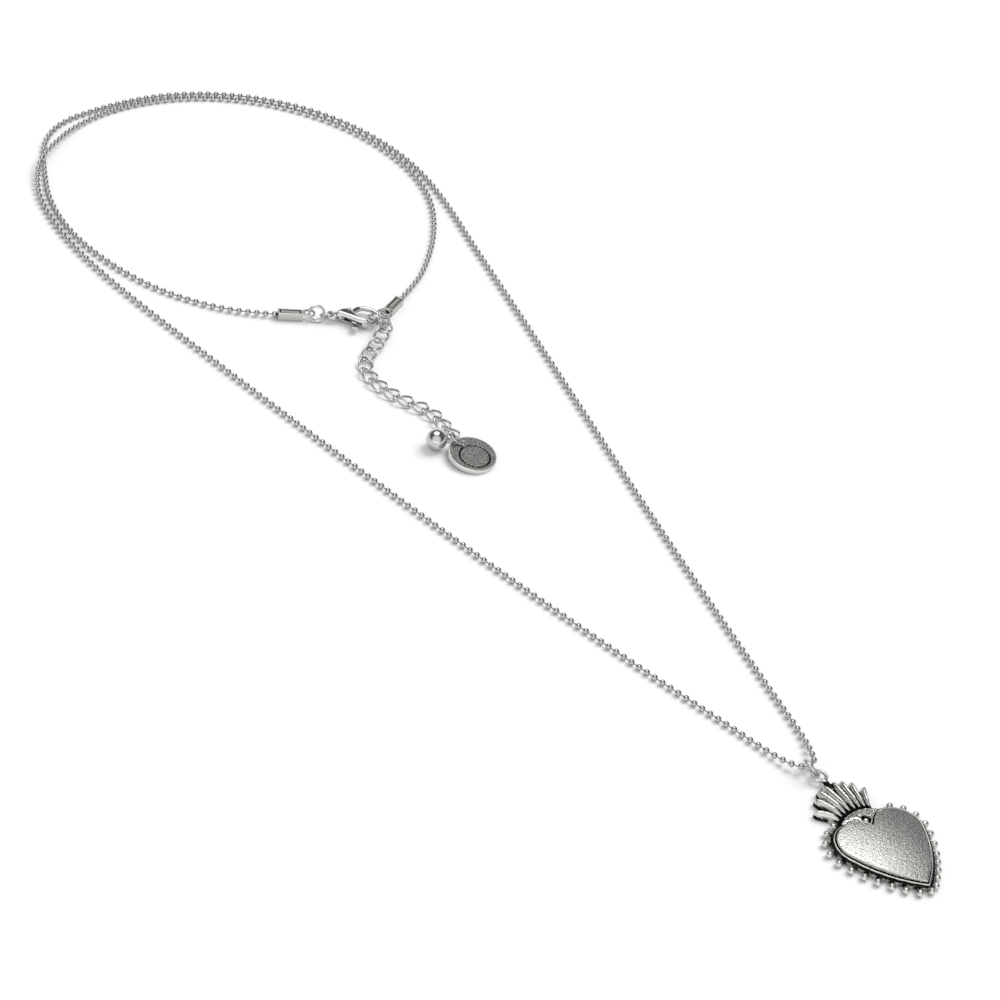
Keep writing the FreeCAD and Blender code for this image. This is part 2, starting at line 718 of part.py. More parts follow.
def curb_link():
    """One twisted oval link of round wire, lying along X about the origin."""
    stations = 16
    points = []
    for i in range(stations):
        t = 2 * math.pi * i / stations
        points.append(xy(size("link_half_length") * math.cos(t),
                         size("link_half_width") * math.sin(t),
                         size("link_twist_height") * math.sin(2 * t)))
    return wire_loop(points, size("link_wire_radius"), sides=5)


def make_links():
    """The extension chain: each link is hinged to the one before it at half a pitch."""
    pitch = size("link_pitch")
    x, y, z, heading, tilt, roll = LINK_ONE
    turn = Rotation(UP, heading).multiply(Rotation(Vector(0, 1, 0), tilt))
    turn = turn.multiply(Rotation(Vector(1, 0, 0), roll))
    feature("extender_link_01", curb_link(), Placement(xy(x, y, z), turn))
    joint = xy(x, y, FIRST_JOINT) + turned(heading, pitch / 2)
    for number, (heading, height) in enumerate(LINKS, start=2):
        ahead = joint + turned(heading, pitch)
        ahead.z = height
        tilt = math.degrees(math.asin((joint.z - ahead.z) / pitch))
        turn = Rotation(UP, heading).multiply(Rotation(Vector(0, 1, 0), tilt))
        feature(f"extender_link_{number:02d}", curb_link(),
                Placement((joint + ahead) * 0.5, turn))
        joint = ahead
    print(f"extension chain ends at {joint.x:.2f}, {joint.y:.2f}, {joint.z:.2f}")


# Charms
# Ball: eye's place, lift, heading towards the ball and lean. Tag: hole's place and heading
BALL_EYE = (-8.34, 149.58, 2.33, 156.9, 0.0)
TAG_HOLE = (-6.06, 147.74, -84.8)


def make_ball_charm():
    """A polished ball with a small wire eye, both drawn with flat facets."""
    x, y, lift, heading, lean = BALL_EYE
    mean, wire = size("ball_eye_mean_radius"), size("ball_eye_wire_radius")
    radius = size("ball_radius")
    bands = (-75, -50, -25, 0, 25, 50, 75)
    ball = stack([(radius * math.sin(math.radians(a)), radius * math.cos(math.radians(a)))
                  for a in bands], sides=14)
    centre = xy(x, y) + turned(heading, size("ball_eye_reach"))
    ball.Placement = Placement(centre + UP * radius, Rotation(UP, heading))
    eye = round_ring(mean, wire, stations=14)
    eye.Placement = Placement(xy(x, y, resting_height(lean, mean, wire) + lift),
                              lean_turn(heading, lean))
    return feature("ball_charm", ball.fuse(eye).removeSplitter())


def make_tag():
    """A plain round tag with a hole near its edge and a ring groove on its face."""
    body = doc.addObject("PartDesign::Body", "tag_disc")
    outline = sketch_on(body, "tag_outline", "XY_Plane")
    outline.addGeometry(Part.Circle(xy(0, 0), UP, size("tag_radius")), False)
    hole_at = size("tag_radius") - size("tag_hole_edge") - size("tag_hole_radius")
    outline.addGeometry(Part.Circle(xy(hole_at, 0), UP, size("tag_hole_radius")), False)
    plate = body.newObject("PartDesign::Pad", "tag_plate")
    plate.Profile = outline
    bind(plate, Length="Sizes.tag_thick")
    doc.recompute()
    ring = sketch_on(body, "tag_ring", "XY_Plane", size("tag_thick"))
    inner = size("tag_groove_radius")
    for radius in (inner, inner + size("tag_groove_width")):
        ring.addGeometry(Part.Circle(xy(-size("tag_groove_back"), 0), UP, radius), False)
    groove = body.newObject("PartDesign::Pocket", "tag_groove")
    groove.Profile = ring
    bind(groove, Length="Sizes.tag_groove_depth")
    body.Tip = groove
    x, y, heading = TAG_HOLE
    tilt = size("tag_tilt")
    turn = Rotation(UP, heading + 180).multiply(Rotation(Vector(0, 1, 0), -tilt))
    lift = UP * (size("tag_radius") * math.sin(math.radians(tilt)))
    body.Placement = Placement(xy(x, y) + turned(heading, hole_at) + lift, turn)
    doc.recompute()
    print(f"tag: plate {plate.Shape.Volume:.2f} mm3, with groove {groove.Shape.Volume:.2f} mm3")
    return body


def check_and_write():
    """Recompute, refuse anything failed, and write every sub-part to its own file."""
    doc.recompute()
    failed = [item.Name for item in doc.Objects if {"Invalid", "Error"} & set(item.State)]
    if failed:
        raise RuntimeError(f"failed objects: {failed}")
    os.makedirs("parts", exist_ok=True)
    for item in doc.Objects:
        if item.Label not in NODES:
            continue
        shape = item.Shape
        if shape.isNull() or not shape.isValid():
            raise RuntimeError(f"bad shape: {item.Label}")
        shape.exportStep(f"parts/{item.Label}.step")
        print(f"{item.Label}: {len(shape.Solids)} solid, {shape.Volume:.2f} mm3")


NODES = ["heart_casting", "pendant_jump_ring", "ball_chain", "crimp_end_left", "crimp_end_right",
         *RINGS, "clasp_body", "clasp_lever", "clasp_rivet", "ball_charm", "tag_disc",
         *(f"extender_link_{n:02d}" for n in range(1, len(LINKS) + 2))]

make_heart_casting()
make_rings()
make_ball_chain()
make_crimp("crimp_end_left", LEFT_MOUTH, LEFT_HEADING)
make_crimp("crimp_end_right", RIGHT_MOUTH, RIGHT_HEADING)
make_clasp_body()
make_clasp_lever()
make_clasp_rivet()
make_links()
make_ball_charm()
make_tag()
check_and_write()
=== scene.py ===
"""Looks of a sacred heart pendant on its ball chain, laid out on a pale table.

Sizes in the classes are millimetres and degrees. Meshes are in metres, in the frame's axes.
"""

import logging
import math
from dataclasses import dataclass
from enum import Enum
from typing import Iterable, Sequence

import bmesh
import bpy
import numpy as np
from mathutils import Matrix, Vector, noise


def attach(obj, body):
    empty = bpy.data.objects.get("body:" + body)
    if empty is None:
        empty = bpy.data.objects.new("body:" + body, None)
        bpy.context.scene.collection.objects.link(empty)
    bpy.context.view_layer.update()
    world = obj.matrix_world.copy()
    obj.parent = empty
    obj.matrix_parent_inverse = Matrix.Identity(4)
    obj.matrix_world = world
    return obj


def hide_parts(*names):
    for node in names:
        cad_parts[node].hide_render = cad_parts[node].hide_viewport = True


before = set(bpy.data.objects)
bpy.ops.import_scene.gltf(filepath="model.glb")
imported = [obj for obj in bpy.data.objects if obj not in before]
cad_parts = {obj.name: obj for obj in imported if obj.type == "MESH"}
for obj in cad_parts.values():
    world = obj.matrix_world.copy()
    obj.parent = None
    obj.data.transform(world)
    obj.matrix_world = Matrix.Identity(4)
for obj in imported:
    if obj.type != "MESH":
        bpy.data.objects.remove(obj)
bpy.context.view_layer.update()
MM = 0.001
LOG = logging.getLogger("pendant")
UP = Vector((0, 0, 1))


class Body(Enum):
    """The frame's bodies that the pieces ride on."""

    NECKLACE = "necklace"
    LEVER = "lever"
    RING = "hanging_ring"
    HEART = "heart"
    BALL = "ball"
    TAG = "tag"


class Slot(Enum):
    """The record's material slots."""

    ANTIQUE = "antique_silver"
    BEADS = "bead_plating"
    BRIGHT = "bright_plating"
    MATTE = "matte_plating"
    TEXTURED = "textured_tag"


def linear(code: str) -> tuple[float, float, float, float]:
    """Turn an sRGB hex colour into linear RGBA.

    Args:
        code: Colour such as "#C8C8CA".

    Returns:
        Red, green, blue and alpha for a shader socket.
    """
    shares = [int(code[i:i + 2], 16) / 255 for i in (1, 3, 5)]
    red, green, blue = (c / 12.92 if c <= 0.04045 else ((c + 0.055) / 1.055) ** 2.4
                        for c in shares)
    return red, green, blue, 1.0


def add_node(tree: bpy.types.NodeTree, kind: str, inputs: dict | None = None,
             **settings: object) -> bpy.types.Node:
    """Add a node with its settings, and link or set its inputs.

    Args:
        tree: Tree that gets the node.
        kind: The node's type name.
        inputs: Socket name or number, with a value, a socket, or a list of sockets to link.
        settings: Properties of the node.

    Returns:
        The new node.
    """
    made = tree.nodes.new(kind)
    for name, value in settings.items():
        setattr(made, name, value)
    for key, value in (inputs or {}).items():
        sources = value if isinstance(value, list) else [value]
        for source in sources:
            if isinstance(source, bpy.types.NodeSocket):
                tree.links.new(source, made.inputs[key])
            else:
                made.inputs[key].default_value = source
    return made


def math_node(tree: bpy.types.NodeTree, operation: str, first: object,
              second: object) -> bpy.types.NodeSocket:
    """Combine two values or sockets, and return the result's socket."""
    return add_node(tree, "ShaderNodeMath", {0: first, 1: second},
                    operation=operation).outputs[0]


def level(angle: float, reach: float = 1.0) -> Vector:
    """A level vector of a given length at an angle in degrees from +X."""
    return Vector((math.cos(math.radians(angle)), math.sin(math.radians(angle)), 0)) * reach


def turn_about(axis: str, angle: float) -> Matrix:
    """A rotation in degrees about a named axis."""
    return Matrix.Rotation(math.radians(angle), 4, axis)


def lean_turn(heading: float, lean: float) -> Matrix:
    """Rotation that stands a flat ring up along a heading and leans it to the left."""
    return turn_about("Z", heading) @ turn_about("X", 90 - lean)


def resting_height(lean: float, mean: float, wire: float) -> float:
    """Height of a leaning ring's centre when its wire rests on the table."""
    return mean * math.cos(math.radians(lean)) + wire


# Meshes

def show(name: str, data: bpy.types.ID) -> bpy.types.Object:
    """Put a mesh or curve into the scene as an object of its own."""
    thing = bpy.data.objects.new(name, data)
    bpy.context.scene.collection.objects.link(thing)
    return thing


def drop(thing: bpy.types.Object) -> None:
    """Take a helper object out of the file."""
    bpy.data.objects.remove(thing)


def settle(thing: bpy.types.Object) -> bpy.types.Object:
    """Turn an object's evaluated result into its own plain mesh, without modifiers."""
    graph = bpy.context.evaluated_depsgraph_get()
    mesh = bpy.data.meshes.new_from_object(thing.evaluated_get(graph))
    mesh.name = thing.name
    thing.modifiers.clear()
    if thing.type == "MESH":
        thing.data = mesh
        return thing
    name = thing.name
    drop(thing)
    return show(name, mesh)


def mesh_of(made: bmesh.types.BMesh, name: str) -> bpy.types.Mesh:
    """Turn a working mesh into a named one, and free it."""
    mesh = bpy.data.meshes.new(name)
    made.to_mesh(mesh)
    made.free()
    return mesh


def joined(name: str, parts: Iterable[bpy.types.Object]) -> bpy.types.Object:
    """Join mesh objects, at their places, into one new mesh object."""
    made = bmesh.new()
    for part in parts:
        part.data.transform(part.matrix_basis)
        made.from_mesh(part.data)
        drop(part)
    return show(name, mesh_of(made, name))


def from_rings(name: str, rings: Sequence[Sequence[Vector]], closed: bool = False,
               place: Matrix | None = None) -> bpy.types.Object:
    """A closed skin over rings of points given in millimetres.

    Args:
        name: Name of the object.
        rings: Rings with equal numbers of points.
        closed: Whether the last ring joins the first; otherwise both ends are capped.
        place: Placement, with its move in millimetres.

    Returns:
        The mesh object, smooth shaded.
    """
    place = place or Matrix.Identity(4)
    sides, count = len(rings[0]), len(rings)
    points = [(place @ Vector(p)) * MM for ring in rings for p in ring]
    faces = []
    for i in range(count if closed else count - 1):
        near, far = i * sides, (i + 1) % count * sides
        for j in range(sides):
            k = (j + 1) % sides
            faces.append((near + j, near + k, far + k, far + j))
    if not closed:
        faces.append(tuple(reversed(range(sides))))
        faces.append(tuple(range((count - 1) * sides, count * sides)))
    mesh = bpy.data.meshes.new(name)
    mesh.from_pydata(points, [], faces)
    outward(mesh)
    mesh.shade_smooth()
    return show(name, mesh)


def outward(mesh: bpy.types.Mesh) -> None:
    """Point a closed mesh's faces outwards."""
    made = bmesh.new()
    made.from_mesh(mesh)
    bmesh.ops.remove_doubles(made, verts=made.verts, dist=1e-7)
    bmesh.ops.recalc_face_normals(made, faces=made.faces)
    made.to_mesh(mesh)
    made.free()


def ball(name: str, centre: Vector, radius: float, segments: int = 32) -> bpy.types.Object:
    """A round ball, in millimetres."""
    made = bmesh.new()
    bmesh.ops.create_uvsphere(made, u_segments=segments, v_segments=segments // 2,
                              radius=radius * MM, matrix=Matrix.Translation(centre * MM))
    mesh = mesh_of(made, name)
    mesh.shade_smooth()
    return show(name, mesh)


def flat_plate(name: str, outlines: Sequence[Sequence[Vector]], thick: float, edge: float,
               place: Matrix) -> bpy.types.Object:
    """A plate with rounded edges from closed outlines, the inner ones being holes.

    Args:
        name: Name of the object.
        outlines: Closed outlines in the plate's own plane, in millimetres.
        thick: Thickness, centred on the plane.
        edge: Radius of the rounded edges.
        place: Placement, with its move in millimetres.

    Returns:
        The mesh object.
    """
    data = bpy.data.curves.new(name, "CURVE")
    data.dimensions, data.fill_mode = "2D", "BOTH"
    for outline in outlines:
        spline = data.splines.new("POLY")
        spline.points.add(len(outline) - 1)
        for point, corner in zip(spline.points, outline):
            point.co = (corner[0] * MM, corner[1] * MM, 0, 1)
        spline.use_cyclic_u = True
    data.extrude = (thick / 2 - edge) * MM
    data.bevel_depth, data.bevel_resolution = edge * MM, 3
    data.offset = -edge * MM
    plate = settle(show(name, data))
    move = place.copy()
    move.translation *= MM
    plate.data.transform(move)
    outward(plate.data)
    plate.data.shade_smooth()
    return plate


def circle(radius: float, centre: Sequence[float] = (0, 0), sides: int = 64) -> list[Vector]:
    """Points of a circle."""
    middle = Vector((centre[0], centre[1], 0))
    return [middle + level(360 * i / sides, radius) for i in range(sides)]


def hoop(centre: Vector, radius: float, wire: float, angles: Iterable[float],
         step: int) -> list[list[Vector]]:
    """Sections of a round bar that follows a level arc.

    Args:
        centre: Middle of the arc.
        radius: Radius of the arc.
        wire: Radius of the bar.
        angles: Where the sections lie along the arc, in degrees.
        step: Degrees between the points of a section.

    Returns:
        One ring of points for each section.
    """
    return [[centre + level(angle) * (radius + wire * math.cos(math.radians(a)))
             + UP * (wire * math.sin(math.radians(a))) for a in range(0, 360, step)]
            for angle in angles]


def smooth_outline(points: Sequence[Sequence[float]], steps: int = 6) -> list[Vector]:
    """A smooth closed outline through points, as a Catmull-Rom spline."""
    corners = [Vector((x, y, 0)) for x, y in points]
    made = []
    for i in range(len(corners)):
        before, start, end, after = (corners[(i + k) % len(corners)] for k in (-1, 0, 1, 2))
        for step in range(steps):
            t = step / steps
            made.append(0.5 * (2 * start + (end - before) * t
                               + (2 * before - 5 * start + 4 * end - after) * t ** 2
                               + (3 * start - before - 3 * end + after) * t ** 3))
    return made


def fused(thing: bpy.types.Object, grain: float, passes: int,
          most: int = 150000) -> bpy.types.Object:
    """Melt overlapping shells into one soft-edged casting.

    Args:
        thing: Object whose shells overlap.
        grain: Size of the new faces, in millimetres.
        passes: Smoothing passes.
        most: Most triangles that the result may have.

    Returns:
        The same object with its new mesh.
    """
    melt = thing.modifiers.new("melt", "REMESH")
    melt.mode, melt.voxel_size = "VOXEL", grain * MM
    soft = thing.modifiers.new("soften", "SMOOTH")
    soft.factor, soft.iterations = 0.5, passes
    settle(thing)
    triangles = sum(len(face.vertices) - 2 for face in thing.data.polygons)
    if triangles > most:
        thin = thing.modifiers.new("thin", "DECIMATE")
        thin.ratio = most / triangles
        settle(thing)
    thing.data.shade_smooth()
    return thing


def carve(thing: bpy.types.Object, tool: bpy.types.Object) -> bpy.types.Object:
    """Cut one closed mesh out of another."""
    cut = thing.modifiers.new("carve", "BOOLEAN")
    cut.operation, cut.solver, cut.object = "DIFFERENCE", "EXACT", tool
    settle(thing)
    drop(tool)
    return thing


def softened_copy(name: str, node: str, grain: float, passes: int) -> bpy.types.Object:
    """A copy of a CAD node with its edges worn soft."""
    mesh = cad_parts[node].data.copy()
    outward(mesh)
    mesh.materials.clear()
    return fused(show(name, mesh), grain, passes)


# Trees that repeat a shape or follow a line

class Socket(Enum):
    """Kinds of input that the trees take."""

    LENGTH = "NodeSocketFloat"
    COUNT = "NodeSocketInt"
    FINISH = "NodeSocketMaterial"


def new_tree(name: str, inputs: dict[str, Socket]) -> tuple[bpy.types.NodeTree,
                                                             bpy.types.Node]:
    """Start a Geometry Nodes tree with named inputs.

    Args:
        name: Name of the tree.
        inputs: Names and kinds of its inputs beside the geometry.

    Returns:
        The tree and its input node.
    """
    tree = bpy.data.node_groups.new(name, "GeometryNodeTree")
    tree.interface.new_socket("Geometry", in_out="INPUT", socket_type="NodeSocketGeometry")
    for label, kind in inputs.items():
        tree.interface.new_socket(label, in_out="INPUT", socket_type=kind.value)
    tree.interface.new_socket("Geometry", in_out="OUTPUT", socket_type="NodeSocketGeometry")
    return tree, tree.nodes.new("NodeGroupInput")


def end_tree(tree: bpy.types.NodeTree, shape: bpy.types.NodeSocket,
             finish: bpy.types.NodeSocket) -> bpy.types.NodeTree:
    """Close a tree: smooth faces, real instances and the material."""
    smooth = add_node(tree, "GeometryNodeSetShadeSmooth", {"Geometry": shape})
    real = add_node(tree, "GeometryNodeRealizeInstances", {"Geometry": smooth.outputs[0]})
    dressed = add_node(tree, "GeometryNodeSetMaterial",
                       {"Geometry": real.outputs[0], "Material": finish})
    add_node(tree, "NodeGroupOutput", {0: dressed.outputs[0]})
    return tree


def run_tree(thing: bpy.types.Object, tree: bpy.types.NodeTree,
             values: dict[str, object]) -> bpy.types.Object:
    """Run a tree on an object with values for its named inputs, and keep the plain result."""
    step = thing.modifiers.new("build", "NODES")
    step.node_group = tree
    for item in tree.interface.items_tree:
        if item.in_out == "INPUT" and item.name in values:
            step[item.identifier] = values[item.name]
    return settle(thing)


def bead_chain_tree() -> bpy.types.NodeTree:
    """Beads at an even pitch along a line, each with the pin that joins it to the next."""
    tree, given = new_tree("beads_on_pins", {
        "Pitch": Socket.LENGTH, "Bead Radius": Socket.LENGTH, "Pin Radius": Socket.LENGTH,
        "Finish": Socket.FINISH})
    get = given.outputs
    line = add_node(tree, "GeometryNodeMeshToCurve", {"Mesh": get["Geometry"]})
    even = add_node(tree, "GeometryNodeResampleCurve",
                    {"Curve": line.outputs[0], "Length": get["Pitch"]}, mode="LENGTH")
    along = add_node(tree, "GeometryNodeInputTangent")
    turn = add_node(tree, "FunctionNodeAlignRotationToVector", {"Vector": along.outputs[0]},
                    axis="Z")
    bead = add_node(tree, "GeometryNodeMeshUVSphere",
                    {"Segments": 12, "Rings": 8, "Radius": get["Bead Radius"]})
    pin = add_node(tree, "GeometryNodeMeshCylinder",
                   {"Vertices": 6, "Radius": get["Pin Radius"], "Depth": get["Pitch"]})
    pair = add_node(tree, "GeometryNodeJoinGeometry", {0: [pin.outputs[0], bead.outputs[0]]})
    strung = add_node(tree, "GeometryNodeInstanceOnPoints",
                      {"Points": even.outputs[0], "Instance": pair.outputs[0],
                       "Rotation": turn.outputs[0]})
    return end_tree(tree, strung.outputs[0], get["Finish"])


def bent_wire_tree() -> bpy.types.NodeTree:
    """Round wire along every line of a mesh."""
    tree, given = new_tree("bent_wire", {"Wire Radius": Socket.LENGTH, "Sides": Socket.COUNT,
                                         "Finish": Socket.FINISH})
    get = given.outputs
    line = add_node(tree, "GeometryNodeMeshToCurve", {"Mesh": get["Geometry"]})
    section = add_node(tree, "GeometryNodeCurvePrimitiveCircle",
                       {"Resolution": get["Sides"], "Radius": get["Wire Radius"]})
    wire = add_node(tree, "GeometryNodeCurveToMesh",
                    {"Curve": line.outputs[0], "Profile Curve": section.outputs[0],
                     "Fill Caps": True})
    return end_tree(tree, wire.outputs[0], get["Finish"])


def curb_link_tree() -> bpy.types.NodeTree:
    """A twisted oval link at each point, turned by the point's own rotation."""
    tree, given = new_tree("curb_links", {
        "Half Length": Socket.LENGTH, "Half Width": Socket.LENGTH, "Twist": Socket.LENGTH,
        "Wire Radius": Socket.LENGTH, "Finish": Socket.FINISH})
    get = given.outputs
    ring = add_node(tree, "GeometryNodeCurvePrimitiveCircle", {"Resolution": 40, "Radius": 1.0})
    here = add_node(tree, "GeometryNodeInputPosition")
    parts = add_node(tree, "ShaderNodeSeparateXYZ", {0: here.outputs[0]})
    along = math_node(tree, "MULTIPLY", parts.outputs["X"], get["Half Length"])
    across = math_node(tree, "MULTIPLY", parts.outputs["Y"], get["Half Width"])
    both = math_node(tree, "MULTIPLY", parts.outputs["X"], parts.outputs["Y"])
    rise = math_node(tree, "MULTIPLY", math_node(tree, "MULTIPLY", both, 2.0), get["Twist"])
    place = add_node(tree, "ShaderNodeCombineXYZ", {0: along, 1: across, 2: rise})
    bent = add_node(tree, "GeometryNodeSetPosition",
                    {"Geometry": ring.outputs[0], "Position": place.outputs[0]})
    section = add_node(tree, "GeometryNodeCurvePrimitiveCircle",
                       {"Resolution": 12, "Radius": get["Wire Radius"]})
    wire = add_node(tree, "GeometryNodeCurveToMesh",
                    {"Curve": bent.outputs[0], "Profile Curve": section.outputs[0]})
    turn = add_node(tree, "GeometryNodeInputNamedAttribute", {"Name": "turn"},
                    data_type="FLOAT_VECTOR")
    angle = add_node(tree, "FunctionNodeEulerToRotation", {0: turn.outputs[0]})
    links = add_node(tree, "GeometryNodeInstanceOnPoints",
                     {"Points": get["Geometry"], "Instance": wire.outputs[0],
                      "Rotation": angle.outputs[0]})
    return end_tree(tree, links.outputs[0], get["Finish"])


def pearl_tree() -> bpy.types.NodeTree:
    """A pearl at each point, with a stem along the point's inward direction."""
    tree, given = new_tree("pearls_on_stems", {"Pearl Radius": Socket.LENGTH,
                                               "Stem Radius": Socket.LENGTH,
                                               "Stem Reach": Socket.LENGTH,
                                               "Finish": Socket.FINISH})
    get = given.outputs
    pearl = add_node(tree, "GeometryNodeMeshUVSphere",
                     {"Segments": 28, "Rings": 16, "Radius": get["Pearl Radius"]})
    stem = add_node(tree, "GeometryNodeMeshCylinder",
                    {"Vertices": 12, "Radius": get["Stem Radius"], "Depth": get["Stem Reach"]})
    half = math_node(tree, "MULTIPLY", get["Stem Reach"], 0.5)
    shift = add_node(tree, "ShaderNodeCombineXYZ", {2: half})
    moved = add_node(tree, "GeometryNodeTransform",
                     {"Geometry": stem.outputs[0], "Translation": shift.outputs[0]})
    pair = add_node(tree, "GeometryNodeJoinGeometry", {0: [moved.outputs[0], pearl.outputs[0]]})
    inward = add_node(tree, "GeometryNodeInputNamedAttribute", {"Name": "inward"},
                      data_type="FLOAT_VECTOR")
    turn = add_node(tree, "FunctionNodeAlignRotationToVector", {"Vector": inward.outputs[0]},
                    axis="Z")
    border = add_node(tree, "GeometryNodeInstanceOnPoints",
                      {"Points": get["Geometry"], "Instance": pair.outputs[0],
                       "Rotation": turn.outputs[0]})
    return end_tree(tree, border.outputs[0], get["Finish"])


def points_with(name: str, points: Sequence[Vector], attribute: str,
                values: Sequence[Sequence[float]]) -> bpy.types.Object:
    """Loose points in millimetres that carry a vector attribute for a tree."""
    mesh = bpy.data.meshes.new(name)
    mesh.from_pydata([p * MM for p in points], [], [])
    layer = mesh.attributes.new(attribute, "FLOAT_VECTOR", "POINT")
    layer.data.foreach_set("vector", np.array(values, float).ravel())
    return show(name, mesh)


def open_line(name: str, points: Sequence[Vector]) -> bpy.types.Object:
    """A line through points in metres, as a mesh of edges."""
    mesh = bpy.data.meshes.new(name)
    mesh.from_pydata(list(points), [(i, i + 1) for i in range(len(points) - 1)], [])
    return show(name, mesh)


# Finishes

@dataclass(frozen=True)
class Metal:
    """A metal surface, bright where it is rubbed and dark where its patina stays or where shade
    is painted on it.
    """

    name: str
    bright: str
    roughness: float
    dark: str = "#141312"
    dark_roughness: float = 0.5
    dark_by_attribute: bool = False
    grain: float = 0.0
    grain_depth: float = 0.0
    patch: float = 0.7
    spread: float = 0.5
    dark_from: float = 0.25
    dark_to: float = 0.7

    def material(self) -> bpy.types.Material:
        """Build the material.

        Returns:
            A metal on Object coordinates, whose patina and painted shade follow the piece's own
            attribute.
        """
        made = bpy.data.materials.new(self.name)
        made.use_nodes = True
        tree = made.node_tree
        tree.nodes.clear()
        shader = add_node(tree, "ShaderNodeBsdfPrincipled",
                          {"Base Color": linear(self.bright), "Metallic": 1.0,
                           "Roughness": self.roughness})
        add_node(tree, "ShaderNodeOutputMaterial", {"Surface": shader.outputs[0]})
        place = add_node(tree, "ShaderNodeTexCoord").outputs["Object"]
        if self.grain:
            cast = add_node(tree, "ShaderNodeTexNoise",
                            {"Vector": place, "Scale": 1 / (self.grain * MM), "Detail": 3.0,
                             "Roughness": 0.6})
            bump = add_node(tree, "ShaderNodeBump",
                            {"Height": cast.outputs[0], "Strength": 1.0,
                             "Distance": self.grain_depth * MM})
            tree.links.new(bump.outputs[0], shader.inputs["Normal"])
        if self.dark_by_attribute:
            self.add_oxide_and_shade(tree, shader, place)
        return made

    def add_oxide_and_shade(self, tree: bpy.types.NodeTree, shader: bpy.types.Node,
                  place: bpy.types.NodeSocket) -> None:
        """Darken by the stored attribute, with a broken edge: patina in the recesses, and on
        the heart painted shade on the dome.
        """
        held = add_node(tree, "ShaderNodeAttribute", attribute_name="oxide")
        patch = add_node(tree, "ShaderNodeTexNoise",
                         {"Vector": place, "Scale": 1 / (self.patch * MM), "Detail": 4.0,
                          "Roughness": 0.65})
        offset = math_node(tree, "SUBTRACT", patch.outputs[0], 0.5)
        broken = math_node(tree, "MULTIPLY", offset, self.spread)
        total = math_node(tree, "ADD", held.outputs["Fac"], broken)
        share = add_node(tree, "ShaderNodeMapRange",
                         {"Value": total, "From Min": self.dark_from,
                          "From Max": self.dark_to},
                         interpolation_type="SMOOTHSTEP")
        colour = add_node(tree, "ShaderNodeMix",
                          {0: share.outputs[0], 6: linear(self.bright), 7: linear(self.dark)},
                          data_type="RGBA")
        rough = add_node(tree, "ShaderNodeMapRange",
                         {"Value": share.outputs[0], "To Min": self.roughness,
                          "To Max": self.dark_roughness})
        tree.links.new(colour.outputs[2], shader.inputs["Base Color"])
        tree.links.new(rough.outputs[0], shader.inputs["Roughness"])


# Antique silver plate: a cast pewter-like alloy, plated, blackened and rubbed back to satin
# On the heart this finish also shows painted shade on the dome, stored with the patina.
ANTIQUE = Metal("antique_silver_plate", "#D0CFCC", 0.21, dark_by_attribute=True, grain=0.38,
                grain_depth=0.08, patch=0.36, spread=1.0)
# Nickel-free plated brass beads: barrel polished, bright with a slight haze
BEAD_PLATE = Metal("barrel_polished_plate", "#B8B8BA", 0.12)
# Rhodium-like bright plating: mirror polished wire and castings
BRIGHT_PLATE = Metal("bright_polished_plate", "#C8C8CA", 0.09)
# Folded sheet ends: tumbled plate, grey and dull, with rubbed edges
MATTE_PLATE = Metal("tumbled_sheet_plate", "#C2C1BE", 0.3, dark_by_attribute=True, grain=0.3,
                    grain_depth=0.02)
# Tag: sand-blasted plate, grey and grainy on its faces
SAND_PLATE = Metal("sand_blasted_plate", "#DAD9D6", 0.36, dark_by_attribute=True, grain=0.3,
                   grain_depth=0.05, patch=0.32)


def vertex_values(mesh: bpy.types.Mesh, name: str) -> np.ndarray:
    """Every vertex's "co" or "normal", as rows of three."""
    values = np.zeros(len(mesh.vertices) * 3, np.float32)
    mesh.vertices.foreach_get(name, values)
    return values.reshape(-1, 3)


def curvature(mesh: bpy.types.Mesh, passes: int) -> np.ndarray:
    """How deep each vertex lies in a hollow, in metres.

    Args:
        mesh: Mesh to measure.
        passes: Smoothing passes, more for wider hollows.

    Returns:
        Positive in hollows and negative on ridges, one number for each vertex.
    """
    count = len(mesh.vertices)
    place, normal = vertex_values(mesh, "co").astype(float), vertex_values(mesh, "normal")
    edges = np.zeros(len(mesh.edges) * 2, np.int32)
    mesh.edges.foreach_get("vertices", edges)
    near, far = edges.reshape(-1, 2).T
    ends, others = np.concatenate([near, far]), np.concatenate([far, near])
    number = np.maximum(np.bincount(ends, minlength=count), 1)
    soft = place.copy()
    for _ in range(passes):
        soft = np.stack([np.bincount(ends, weights=soft[others, k], minlength=count) / number
                         for k in range(3)], axis=1)
    return ((soft - place) * normal).sum(axis=1)


def set_oxide_and_shade(thing: bpy.types.Object, values: np.ndarray) -> None:
    """Store how dark each vertex is made, from 0 to 1: its patina, and painted shade where a
    piece has it.
    """
    layer = thing.data.attributes.new("oxide", "FLOAT", "POINT")
    layer.data.foreach_set("value", np.clip(values, 0, 1).astype(np.float32))


def dress(thing: bpy.types.Object, metal: bpy.types.Material, slot: Slot, body: Body,
          *nodes: str) -> bpy.types.Object:
    """Give a piece its finish and body, and hide the CAD nodes that it stands for."""
    thing.data.materials.clear()
    thing.data.materials.append(metal)
    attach(thing, body.value)
    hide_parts(*nodes)
    LOG.info("%s: %d faces on %s", thing.name, len(thing.data.polygons), body.value)
    return thing


# Ball chain

